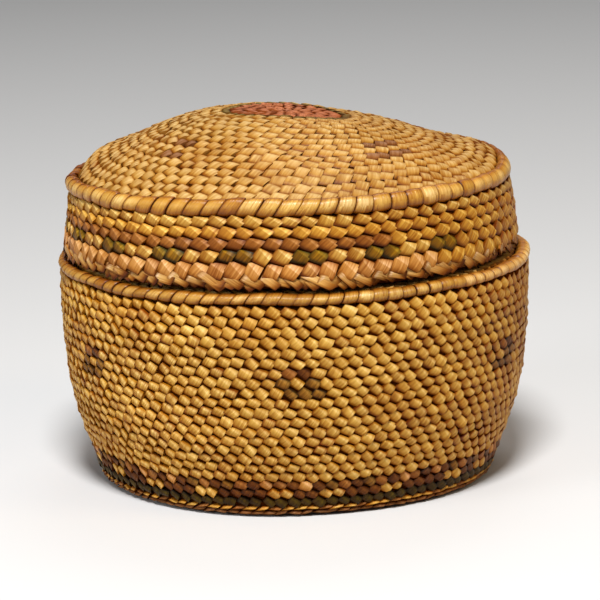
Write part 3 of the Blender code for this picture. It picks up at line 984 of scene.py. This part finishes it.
def finish_piece(piece, body, slot, *nodes, material=None):
    """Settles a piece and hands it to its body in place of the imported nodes."""
    axis = (LID_AXIS_X if body == "lid" else 0.0, 0.0, 0.0)
    move_to(piece.data, settled(places(piece.data) + axis))
    if material:
        piece.data.materials.clear()
        piece.data.materials.append(material)
    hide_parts(*nodes)
    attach(piece, body)
    triangles = sum(len(face.vertices) - 2 for face in piece.data.polygons)
    print(f"{piece.name}: {triangles} triangles")


print("the dome sags by up to", SAG * 1000, "mm")

# %% [markdown]
# ## The wall
#
# The wall has twenty-two courses of about 104 stitches. The lowest is split in two, a brown edge
# and gold stitches on it. Then come a dark green course, one with gold stitches in pairs and a
# mixed brown one. The rest is natural grass with six small spots of brown, rose and olive
# stitches at mid height. Each dyed band is a piece of its own, because it is a separate strand on
# the real basket.

# %% Patterns of the wall
WALL_COURSES, WALL_STITCHES = 22, 104
WALL_LENGTH = length_of(wall_line)
WALL_LEAN = 0.16
SPOT_COUNT, SPOT_START = 6, 0.99
SPOT = [(2, -0.8, 0.2, "rose_brown"), (2, 0.2, 1.2, "brown"), (1, -1.5, -0.5, "faded"),
        (1, 0.5, 1.5, "faded"), (0, -1.5, 1.5, "faded")]


def pairs(light, dark, light_count, dark_count, around):
    """light_count stitches of one dye, then dark_count of another, all round a course."""
    def pattern(course, turn):
        place = np.floor(turn * around + 1e-3).astype(int) % (light_count + dark_count)
        return np.where(place < light_count, light, dark)
    return pattern


def spots(course, turn):
    """Small spots. SPOT lists a row of one, the stitches it covers there and their dye."""
    names = np.full(len(course), "straw", dtype="<U16")
    side = ((turn * SPOT_COUNT + SPOT_START) % 1.0 - 0.5) * WALL_STITCHES / SPOT_COUNT
    for row, low, high, name in SPOT:
        names[(course.astype(int) == row) & (side > low) & (side <= high)] = name
    return names


def foot_edge(course, turn):
    """A brown edge below and golden stitches above it, three in ten of them stained."""
    place = np.floor(turn * WALL_STITCHES + 0.5).astype(int)
    return np.where(course < 0.5, "bark", np.where(place * 7 % 10 < 3, "rose_brown", "golden"))


def foot_mix(course, turn):
    """Brown stitches with rose and olive ones among them."""
    place = np.floor(turn * WALL_STITCHES + 1e-3).astype(int) * 7 % 11
    return np.select([place < 4, place < 7, place < 9], ["brown", "rose_brown", "rose"], "faded")


print("courses are", round(WALL_LENGTH / WALL_COURSES * 1000, 2), "mm apart up the wall")


# %% Wall courses
def wall_band(name, slot, first, rows, pattern, seed, stitch=wall_stitch, split=1):
    """split lays that many thinner courses for each of the rows."""
    step = WALL_LENGTH / WALL_COURSES
    line = part_of(wall_line, first * step, (first + rows) * step)
    piece = lay_courses(name + "_stitches", line, stitch, [(rows * split, WALL_STITCHES)],
                        first=first + 1 - split, looseness=1.2, seed=seed,
                        lean=WALL_LEAN if split == 1 else 0.0)
    dye(piece, pattern, seed, SIDE_SHADE_ON_WALL)
    finish_piece(piece, "basket", slot, name)


wall_band("foot_course_natural", "natural_grass", 0, 1, foot_edge, 11, foot_stitch, split=2)
wall_band("foot_course_green", "green_grass", 1, 1, plain("dark_green"), 12)
wall_band("foot_course_pairs", "gold_grass", 2, 1, pairs("straw", "brown", 2, 3, WALL_STITCHES), 13)
wall_band("foot_course_brown", "brown_grass", 3, 1, foot_mix, 14)
wall_band("wall_courses_lower", "natural_grass", 4, 9, plain("straw"), 15)
wall_band("wall_courses_motif", "motif_grass", 13, 3, spots, 16)
wall_band("wall_courses_upper", "natural_grass", 16, 6, plain("straw"), 17)

# %% [markdown]
# ## Coils
#
# A bundle of bark and grass runs round the shoulder and another round the lid's edge. Broad
# glossy ribbons are wrapped round each. One wrap is a short flat barrel, and the tree that lays
# the courses sets the wraps side by side in a single one. They could be laid on the slant
# straight away, but barrels that lean don't close up, so they are laid upright and the whole coil
# is slanted after.

# %% One wrap
WRAP_SIDES = 14
WRAP = [(-0.50, 0.66), (-0.485, 0.84), (-0.43, 0.91), (-0.16, 0.985), (0.16, 1.0),
        (0.42, 0.97), (0.485, 0.90), (0.50, 0.66)]


def loft(form, rings, uv_at, smooth=False):
    """Joins rings of points into a closed bar. uv_at gives the UV for a ring and a side."""
    layer = form.loops.layers.uv.verify()
    sides = len(rings[0])
    for row in range(len(rings) - 1):
        for side in range(sides):
            corners = ((row, side), (row, side + 1), (row + 1, side + 1), (row + 1, side))
            face = form.faces.new([rings[ring][turn % sides] for ring, turn in corners])
            face.smooth = smooth
            for loop, corner in zip(face.loops, corners):
                loop[layer].uv = uv_at(*corner)
    form.faces.new(rings[0])
    form.faces.new(rings[-1])


def wrap_mesh(name):
    """One wrap, from WRAP's places across it and how full it is there."""
    form = bmesh.new()
    form.loops.layers.uv.new("UVMap")
    angles = [math.tau * side / WRAP_SIDES for side in range(WRAP_SIDES)]
    rings = [[form.verts.new((across, 0.5 * reach * math.sin(angle),
                              -0.5 + 0.5 * reach * math.cos(angle))) for angle in angles]
             for across, reach in WRAP]
    loft(form, rings, lambda ring, side: (WRAP[ring][0] + 0.5, side / WRAP_SIDES), smooth=True)
    return scene_object(name, closed_mesh(form, name))


coil_wrap = wrap_mesh("coil_wrap")
# Along the ribbon: a painted cream highlight near its outer face, painted shade underneath. Across
# it: painted shade at the seams between wraps.
ribbon = strand_material(
    "coil ribbon", 0.32, 15.0, 1.6, 1.0, 0.00014,
    [(0.0, (1.08, 1.20, 1.60)), (0.05, (1.22, 1.46, 2.40)), (0.10, (1.16, 1.34, 1.96)),
     (0.16, (0.94, 0.90, 0.78)), (0.22, (0.58, 0.40, 0.16)), (0.74, (0.30, 0.13, 0.01)),
     (0.86, (0.50, 0.29, 0.06)), (0.93, (0.82, 0.70, 0.42)), (1.0, (1.08, 1.20, 1.60))],
    [(0.0, (0.10, 0.03, 0.0)), (0.04, (0.42, 0.26, 0.08)), (0.11, (0.92, 0.86, 0.72)),
     (0.50, (1.06, 1.08, 1.12)), (0.88, (0.94, 0.90, 0.78)), (0.96, (0.66, 0.50, 0.26)),
     (1.0, (0.20, 0.08, 0.0))], rubbed_lit_amount=0.0, gloss=0.34)
print("one wrap has", len(coil_wrap.data.polygons), "faces")

# %% [markdown]
# ## Wrapping the coils
#
# The wraps slant along their coil, by a share of a wrap's width at its top and bottom. In the
# photograph they slant most on the left and stand upright on the right. The shoulder's ribbon
# is painted pale on the right, a painted highlight where light falls most, and darker elsewhere,
# as painted shade. The collar's rim is bound and coloured in the same way, with no core.

# %% Shoulder coil, lid edge coil and collar rim
CORE_SIZE, CORE_SIDES = 0.8, 10
WRAP_LOOSENESS = 0.35
LIT_TURN = 0.13
SLANT_IN_FRONT, SLANT_CHANGE = 1.1, 2.2


def lit_and_shaded(course, turn):
    """The shoulder is painted pale on the right, where light falls most, and darker elsewhere."""
    side = np.abs((turn + 0.5) % 1.0 - 0.5)
    # Pale is a painted highlight here, and the darker coil tones are painted shade.
    return np.where(side < LIT_TURN, "pale", "worn_coil")


def slanted(piece, height, half_high, around, slant):
    """Slants the wraps along their coil, by a share of a wrap's width, and least on the right."""
    points = places(piece.data)
    x, y, z = points.T
    radius = np.hypot(x, y)
    angle = np.arctan2(y, x)
    amount = slant * np.clip(SLANT_IN_FRONT - SLANT_CHANGE * np.cos(angle), 0.0, 1.0)
    angle = angle + amount * math.tau / around * (z - height) / half_high
    move_to(piece.data, np.column_stack([radius * np.cos(angle), radius * np.sin(angle), z]))


def coil(name, middle_radius, height, half_wide, half_high, around, slant, body, wrapping, rod,
         seed):
    """Wraps in place of a node, round a core in place of another where there is one."""
    outer = middle_radius + half_wide
    profile = curve_object(name + "_profile", [(outer, height - half_high),
                                               (outer, height + half_high)])
    empty = scene_object(name + "_none", bpy.data.meshes.new(name + "_none"))
    piece = run_tree(name + "_wraps", courses, course_sockets, {
        "Profile": profile, "Stitch": coil_wrap, "Backing": empty, "Stitches": around,
        "Courses": 1, "First Course": 0, "Height": 2.0 * half_wide, "Looseness": WRAP_LOOSENESS,
        "Seed": seed, "Material": ribbon})
    drop(profile, empty)
    slanted(piece, height, half_high, around, slant)
    dye(piece, lit_and_shaded if body == "basket" else plain("coil"), seed)
    finish_piece(piece, body, "gold_grass", wrapping)
    if rod:
        section = [(middle_radius + CORE_SIZE * half_wide * math.cos(a),
                    height + CORE_SIZE * half_high * math.sin(a))
                   for a in np.arange(CORE_SIDES) * math.tau / CORE_SIDES]
        core = scene_object(name + "_core", turned_mesh(name + "_core", section))
        dye(core, plain("bark"))
        finish_piece(core, body, "bundle_core", rod, material=bark)


coil("shoulder_coil", 0.0436, 0.0415, 0.0014, 0.0011, 98, 0.25, "basket", "shoulder_wrapping",
     "shoulder_rod", 21)
coil("lid_edge_coil", 0.0410, 0.0577, 0.0013, 0.0017, 76, 0.36, "lid", "lid_edge_wrapping",
     "lid_edge_rod", 22)
coil("collar_rim", 0.03728, 0.0515, 0.00148, 0.0009, 96, 0.30, "basket", "collar_rim_binding",
     None, 23)

# %% [markdown]
# ## Stakes
#
# The warp of the basket is a row of flat bark strips, split and scraped, that start at the base
# and stand side by side all the way up. They show only on the inside. One strip is drawn along
# the profile, a little behind the weave, and copies of it are set round the axis. A plain turned
# lining would be quicker, but it would show no strips where the lid is off.

# %% One stake
STAKE_CROWN, STAKE_FILL, STAKE_SLIP = 0.0001, 0.86, 0.12
STAKE_UV_STEPS = 4.0


def stake_mesh(name, line, near, far, half_turn, steps):
    """A thin strip that follows a profile on its inner side, crowned across."""
    stretch = part_of(line, 0.0, length_of(line), steps)
    outer, inner, crown = (offset_line(stretch, depth) for depth in (near, far, far + STAKE_CROWN))
    corners = [(outer, -1.0), (outer, 1.0), (inner, 1.0), (crown, 0.0), (inner, -1.0)]
    form = bmesh.new()
    form.loops.layers.uv.new("UVMap")
    rings = [[form.verts.new((
        where[step][0] * math.cos(side * half_turn), where[step][0] * math.sin(side * half_turn),
        where[step][1])) for where, side in corners] for step in range(steps + 1)]
    loft(form, rings, lambda ring, side: (
        0.5 + 0.5 * corners[side % len(corners)][1], ring / STAKE_UV_STEPS))
    return scene_object(name, closed_mesh(form, name))


def lining(name, line, count, body, node_name, seed, steps, near=0.0015, far=0.0022):
    """A ring of stakes behind a profile."""
    stake = stake_mesh(name + "_one", line, near, far, STAKE_FILL * math.pi / count, steps)
    piece = run_tree(name, copies, copy_sockets, {
        "Piece": stake, "Copies": count, "Slip": STAKE_SLIP, "Seed": seed, "Material": bark})
    drop(stake)
    dye(piece, plain("bark"), seed)
    finish_piece(piece, body, "cedar_bark", node_name)


print("a stake fills", STAKE_FILL, "of its place")

# %% Stakes of the wall and the collar
collar_line = [(0.0421, 0.0404), (0.0400, 0.0404), (0.0382, 0.0405), (0.0375, 0.0411),
               (0.0373, 0.0425), (0.0373, 0.0470), (0.0373, 0.0516)]
lining("wall_stake_strips", polyline(wall_point, 0.0007, WALL_TOP), 108, "basket",
       "wall_stakes", 51, steps=16)
lining("collar_stake_strips", collar_line, 96, "basket", "collar_stakes", 52, steps=16,
       near=0.0001, far=0.0007)

# %% [markdown]
# ## Ledge and collar
#
# Inside the shoulder coil the weave turns in over a narrow ledge and then up again as a collar,
# which the lid slips over. Both are plain natural grass, a little finer than the wall. The ledge
# is painted pale all round, as painted light in the shade under the lid. They are laid by the
# same tree as the wall, on short straight profiles of their own.

# %% Ledge and collar courses
ledge = lay_courses("ledge_stitches", [(0.0420, 0.0424), (0.0383, 0.0424)], wall_stitch,
                    [(2, 104)], height=0.0007, seed=61)
# Painted light: the ledge is coloured pale to lighten the shade that the lid casts on it.
dye(ledge, plain("pale"), 61)
finish_piece(ledge, "basket", "natural_grass", "ledge_courses")
collar = lay_courses("collar_stitches", [(0.03846, 0.0427), (0.03846, 0.0506)], wall_stitch,
                     [(4, 100)], height=0.0006, seed=62)
dye(collar, plain("straw"), 62)
finish_piece(collar, "basket", "natural_grass", "collar_courses")

# %% [markdown]
# ## The base
#
# A basket of this kind is begun with flat strips plaited over and under, six each way. It is seen
# only when the basket is turned over, or down inside, but it is made like the rest. The plait's
# strips could be bent by a modifier, but it is simpler to draw each with a wave for every
# crossing.

# %% Plaited start
PLAIT_PITCH, PLAIT_HALF, PLAIT_LEVEL = 0.0045, 0.01305, 0.0007
PLAIT_WAVE, STRIP_HALF_WIDE, STRIP_HALF_THICK = 0.0004, 0.0018, 0.00025
PLAIT_STEPS, PLAIT_STRIPS, PLAIT_UV_STEPS = 36, 6, 6.0
STRIP_SECTION = [(-1.0, -0.8), (1.0, -0.8), (1.0, 0.8), (0.0, 1.0), (-1.0, 0.8)]


def strip_rings(form, shade, direction, strip, tone):
    """The rings of points along one strip, which goes over and under those that cross it."""
    middle = (strip - 2.5) * PLAIT_PITCH
    rings = []
    for step in range(PLAIT_STEPS + 1):
        along = PLAIT_HALF * (2.0 * step / PLAIT_STEPS - 1.0)
        wave = math.cos(math.pi * (along / PLAIT_PITCH - 0.5 + strip + direction))
        level = PLAIT_LEVEL + PLAIT_WAVE * max(-1.0, min(1.0, 1.6 * wave))
        rings.append([])
        for across, up in STRIP_SECTION:
            spot = (along, middle + STRIP_HALF_WIDE * across)
            x, y = spot if direction == 0 else spot[::-1]
            vert = form.verts.new((x, y, level + STRIP_HALF_THICK * up))
            vert[shade] = tone
            rings[-1].append(vert)
    return rings


def plait_mesh(name):
    form = bmesh.new()
    form.loops.layers.uv.new("UVMap")
    shade = form.verts.layers.float.new("shade")
    draw = np.random.default_rng(71)

    def uv_at(ring, side):
        return 0.5 + 0.5 * STRIP_SECTION[side % len(STRIP_SECTION)][0], ring / PLAIT_UV_STEPS

    for direction in range(2):
        for strip in range(PLAIT_STRIPS):
            loft(form, strip_rings(form, shade, direction, strip, draw.random()), uv_at)
    mesh = closed_mesh(form, name)
    mark(mesh, course=0.0, turn=0.0)
    return mesh


plait = scene_object("plaited_start", plait_mesh("plaited_start"))
dye(plait, plain("bark"), 71)
strips = [f"base_strip_{way}_{number}" for way in ("lengthwise", "crosswise")
          for number in range(1, PLAIT_STRIPS + 1)]
finish_piece(plait, "basket", "cedar_bark", *strips, material=bark)

# %% [markdown]
# ## Twining round the plait
#
# Twining starts round the plaited square and goes on out to the foot, with more stitches round
# each course as it grows. Its backing could be turned, as the others are, but the hole in its
# middle is square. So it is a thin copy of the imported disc, drawn out at its rim to close the gap
# under the wall's stakes.


# %% Base courses
def sunk_copy(node_name, name, low, high, reach):
    """A closed copy of a node's mesh, squeezed between two heights and drawn out at its rim."""
    form = bmesh.new()
    form.from_mesh(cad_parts[node_name].data)
    bmesh.ops.remove_doubles(form, verts=form.verts, dist=1e-6)
    bottom, top = (box.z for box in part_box(node_name))
    for vert in form.verts:
        vert.co.z = between(low, high, (vert.co.z - bottom) / (top - bottom))
        radius = vert.co.xy.length
        if radius > 0.9 * reach:
            vert.co.xy *= reach / radius
    mesh = closed_mesh(form, name)
    mark(mesh, course=-1.0, turn=0.0, shade=0.5)
    mesh.materials.clear()
    mesh.materials.append(hidden_strand)
    return mesh


base = lay_courses("base_stitches", [(0.0144, 0.0004), (0.0345, 0.0004)], wall_stitch,
                   [(3, 48), (3, 66), (3, 84), (2, 98)], height=0.0006, seed=72, clear=0.0142,
                   backing=sunk_copy("base_twining", "base_backing", 0.0005, 0.0012, 0.0354))
dye(base, plain("bark"), 72)
finish_piece(base, "basket", "cedar_bark", "base_twining")

# %% [markdown]
# ## The lid's side
#
# Five courses climb the lid's side, each in its own dye, over about 80 stakes. The lowest are the
# tallest. Where the lid has seen most light, on the right, the dyed courses have gone gold. The
# strands are creased here rather than rounded, so they get their own stitch and material.

# %% Lid side
LID_STITCHES = 80
SIDE_LEAN = 0.10
side_low = np.array((0.0436, 0.0430))
side_high = np.array((0.0420, 0.0562))
SIDE_LEVELS = (0.0450, 0.0478, 0.0502, 0.0523, 0.0543, 0.0562)


def side_point(share):
    """A point up the lid's side, as radius and height."""
    return tuple(between(side_low, side_high, share))


def side_band(name, slot, number, pattern, seed, stitch=side_stitch):
    """One course, between two of the levels."""
    line = [side_point((level - side_low[1]) / (side_high - side_low)[1])
            for level in SIDE_LEVELS[number:number + 2]]
    piece = lay_courses(name + "_stitches", line, stitch, [(1, LID_STITCHES)], first=number,
                        height=0.00068, seed=seed, lean=SIDE_LEAN, material=grass_creased)
    dye(piece, pattern, seed)
    finish_piece(piece, "lid", slot, name)


def faded(pattern, start, end=0.16):
    """A dyed course that has gone gold on the side that has seen most light."""
    return lambda course, turn: np.where((turn > start) | (turn < end), "golden",
                                         pattern(course, turn))


side_band("lid_side_course_rose", "rose_grass", 0, faded(plain("rose"), 0.86), 31, rose_stitch)
side_band("lid_side_course_green_pairs", "green_grass", 1,
          faded(pairs("olive", "straw", 2, 2, LID_STITCHES), 0.87), 32)
side_band("lid_side_course_brown", "brown_grass", 2, faded(plain("rose_brown"), 0.82), 33)
side_band("lid_side_course_gold", "gold_grass", 3, plain("golden"), 34)
side_band("lid_side_course_natural", "natural_grass", 4, plain("straw"), 35)

# %% [markdown]
# ## The hem
#
# Below the courses the ends of the stakes are folded over on the slant, one over the next, and
# trimmed unevenly. A fold is a long flat strip, so the stitch's own function can make it. Two
# layers of folds lie one over the other, half a fold apart, and a few narrow loose ends lie on
# them.

# %% Hem
fold = stitch_mesh("hem_fold", (0.30, 0.46), (-1.14, 0.70), 0.30, 0.30, 0.12)
loose_end = stitch_mesh("loose_end", (0.060, 0.32), (-0.25, 0.94), 0.30, 0.30, 0.12)


def hem_layer(name, strip, count, depth, shift, seed, backing=None):
    """One layer of folds or ends, on what has been laid so far."""
    line = offset_line([side_low + (0.0, 0.0004), side_point(0.23)], depth)
    return lay_courses(name, line.tolist(), strip, [(1, count)], first=shift, height=0.00036,
                       looseness=2.2, seed=seed, backing=backing)


under = hem_layer("hem_under", fold, LID_STITCHES, 0.0008, 1, 38)
middle = hem_layer("hem_middle", fold, LID_STITCHES, 0.0004, 0, 36, under.data.copy())
hem = hem_layer("lid_hem_folds", loose_end, 13, 0.0001, 0, 37, middle.data.copy())
drop(under, middle)
dye(hem, plain("hem"), 36)
finish_piece(hem, "lid", "cedar_bark", "lid_hem")
lining("lid_side_stake_strips", [side_point(0.17), side_point(0.96)], LID_STITCHES, "lid",
       "lid_side_stakes", 53, steps=4)

# %% [markdown]
# ## The lid's top
#
# The courses go on over the edge coil and in to the crown. Fewer stakes reach the middle, so the
# number of stitches round a course drops in steps. The crown has a red patch with a dark border.
# The outermost backing is tucked down behind the edge coil, so that no light comes through
# between them.

# %% Patterns of the lid's top
TOP_LENGTH = length_of(top_line)
# Spots are placed and sized in degrees. One lies at 222, and the rest a quarter turn apart.
TOP_SPOTS, SPOT_APART, FIRST_SPOT = 4, 90.0, 222.0
SPOT_HALF, LONG_SPOT_HALF = 4.5, 10.0


def top_spots(course, turn):
    """Four dusky spots, the one on the front right with a longer row at its foot."""
    names = np.full(len(course), "top", dtype="<U16")
    start = 0.5 - FIRST_SPOT / SPOT_APART
    side = np.abs((turn * TOP_SPOTS + start) % 1.0 - 0.5) * SPOT_APART
    row = course.astype(int)
    reach = np.where(turn > FRONT, LONG_SPOT_HALF, SPOT_HALF)
    names[(row >= 1) & (side < SPOT_HALF) | (row == 1) & (side < reach)] = "dusky"
    return names


def top_reach(radius):
    """How far along the top's profile a radius lies."""
    return length_of(polyline(top_point, TOP_EDGE, radius))


print("the crown patch starts", round(top_reach(0.0107) * 1000, 1), "mm in from the top's edge")


# %% Lid top courses
def top_band(name, slot, outer, inner, zones, pattern, seed, backing=None):
    line = part_of(top_line, top_reach(outer), top_reach(inner))
    piece = lay_courses(name + "_stitches", line, top_stitch, zones, seed=seed, height=0.0007,
                        backing=backing, material=grass_pale)
    dye(piece, pattern, seed)
    finish_piece(piece, "lid", slot, name)


tucked_line = np.vstack([(0.0410, 0.0574), part_of(top_line, 0.0, top_reach(0.0320))])
top_band("lid_top_courses_outer", "natural_grass", TOP_EDGE, 0.0320, [(2, 82), (2, 74)],
         plain("top"), 41, backing_mesh("tucked_backing", tucked_line, 5))
top_band("lid_top_courses_motif", "motif_grass", 0.0320, 0.0246, [(2, 66), (2, 58)], top_spots, 42)
top_band("lid_top_courses_inner", "natural_grass", 0.0246, 0.0124, [(2, 50), (2, 42), (2, 34)],
         plain("top"), 43)
top_band("crown_border_course", "green_grass", 0.0124, 0.0107, [(1, 32)], plain("moss"), 44)
top_band("crown_patch", "red_grass", 0.0107, 0.0006, [(1, 26), (1, 20), (1, 14), (1, 8)],
         plain("red"), 45)
lining("lid_top_stake_strips", part_of(top_line, 0.0002, TOP_LENGTH - 0.0012), 64, "lid",
       "lid_top_stakes", 54, steps=20)

# %% [markdown]
# ## Floor and lamps
#
# The basket stands on a plain pale floor in a pale studio. Large round lamps give soft edges to
# its shadow: one above and in front, one to fill the left, one behind, and a small warm one on
# the right. The floor is a neutral grey to the camera. To everything else it is a little warmer,
# so that the light it throws back up under the basket is warm. The lamps could do all of it, but
# a low warm lamp would throw a shadow of its own.

# %% Floor and lamps
LAMP_AIM = Vector((0.0, 0.0, 0.03))
FLOOR_HALF, FLOOR_DROP = 3, 0.0002
FLOOR_WARM, FLOOR_SEEN = (0.62, 0.56, 0.46, 1.0), (0.62, 0.62, 0.62, 1.0)
STUDIO_LIGHT, STUDIO_SEEN = 0.15, 0.85


def lamp(name, place, power, size, colour=(1.0, 1.0, 1.0)):
    data = bpy.data.lights.new(name, "AREA")
    data.color = colour
    data.energy = power
    data.shape = "DISK"
    data.size = size
    made = scene_object(name, data)
    made.location = place
    made.rotation_euler = aimed(Vector(place), LAMP_AIM).to_euler()


lamp("key lamp", (-0.02, -0.46, 0.76), 10.2, 0.22)
lamp("fill lamp", (-0.8, -0.5, 0.36), 2.8, 0.4)
lamp("back lamp", (0.1, 0.6, 0.9), 1.8, 0.5)
lamp("side lamp", (0.6, -0.3, 0.5), 1.0, 0.3, (1.0, 0.74, 0.44))

floor_mesh = bpy.data.meshes.new("floor")
corners = [(x * FLOOR_HALF, y * FLOOR_HALF, 0) for x, y in ((-1, -1), (1, -1), (1, 1), (-1, 1))]
floor_mesh.from_pydata(corners, [], [(0, 1, 2, 3)])
floor = scene_object("floor", floor_mesh)
floor.location.z = -FLOOR_DROP
cloth, cloth_tree, cloth_shader = new_material("pale floor")
seen = node(cloth_tree, "ShaderNodeLightPath").outputs["Is Camera Ray"]
cloth_tree.links.new(mix(cloth_tree, seen, FLOOR_WARM, FLOOR_SEEN),
                     cloth_shader.inputs["Base Color"])
cloth_shader.inputs["Roughness"].default_value = 0.9
floor_mesh.materials.append(cloth)

world = bpy.data.worlds.new("studio")
world.use_nodes = True
studio = world.node_tree.nodes["Background"]
seen = node(world.node_tree, "ShaderNodeLightPath").outputs["Is Camera Ray"]
strength = calc(world.node_tree, "MULTIPLY_ADD", seen, STUDIO_SEEN - STUDIO_LIGHT, STUDIO_LIGHT)
studio.inputs["Color"].default_value = (1.0, 1.0, 1.0, 1)
world.node_tree.links.new(strength, studio.inputs["Strength"])
bpy.context.scene.world = world
bpy.context.scene.view_settings.view_transform = "Standard"

# %% [markdown]
# ## Finish
#
# The stitches and the wrap that were copied are dropped.

# %% Finish
drop(wall_stitch, side_stitch, rose_stitch, foot_stitch, top_stitch, fold, loose_end, coil_wrap)
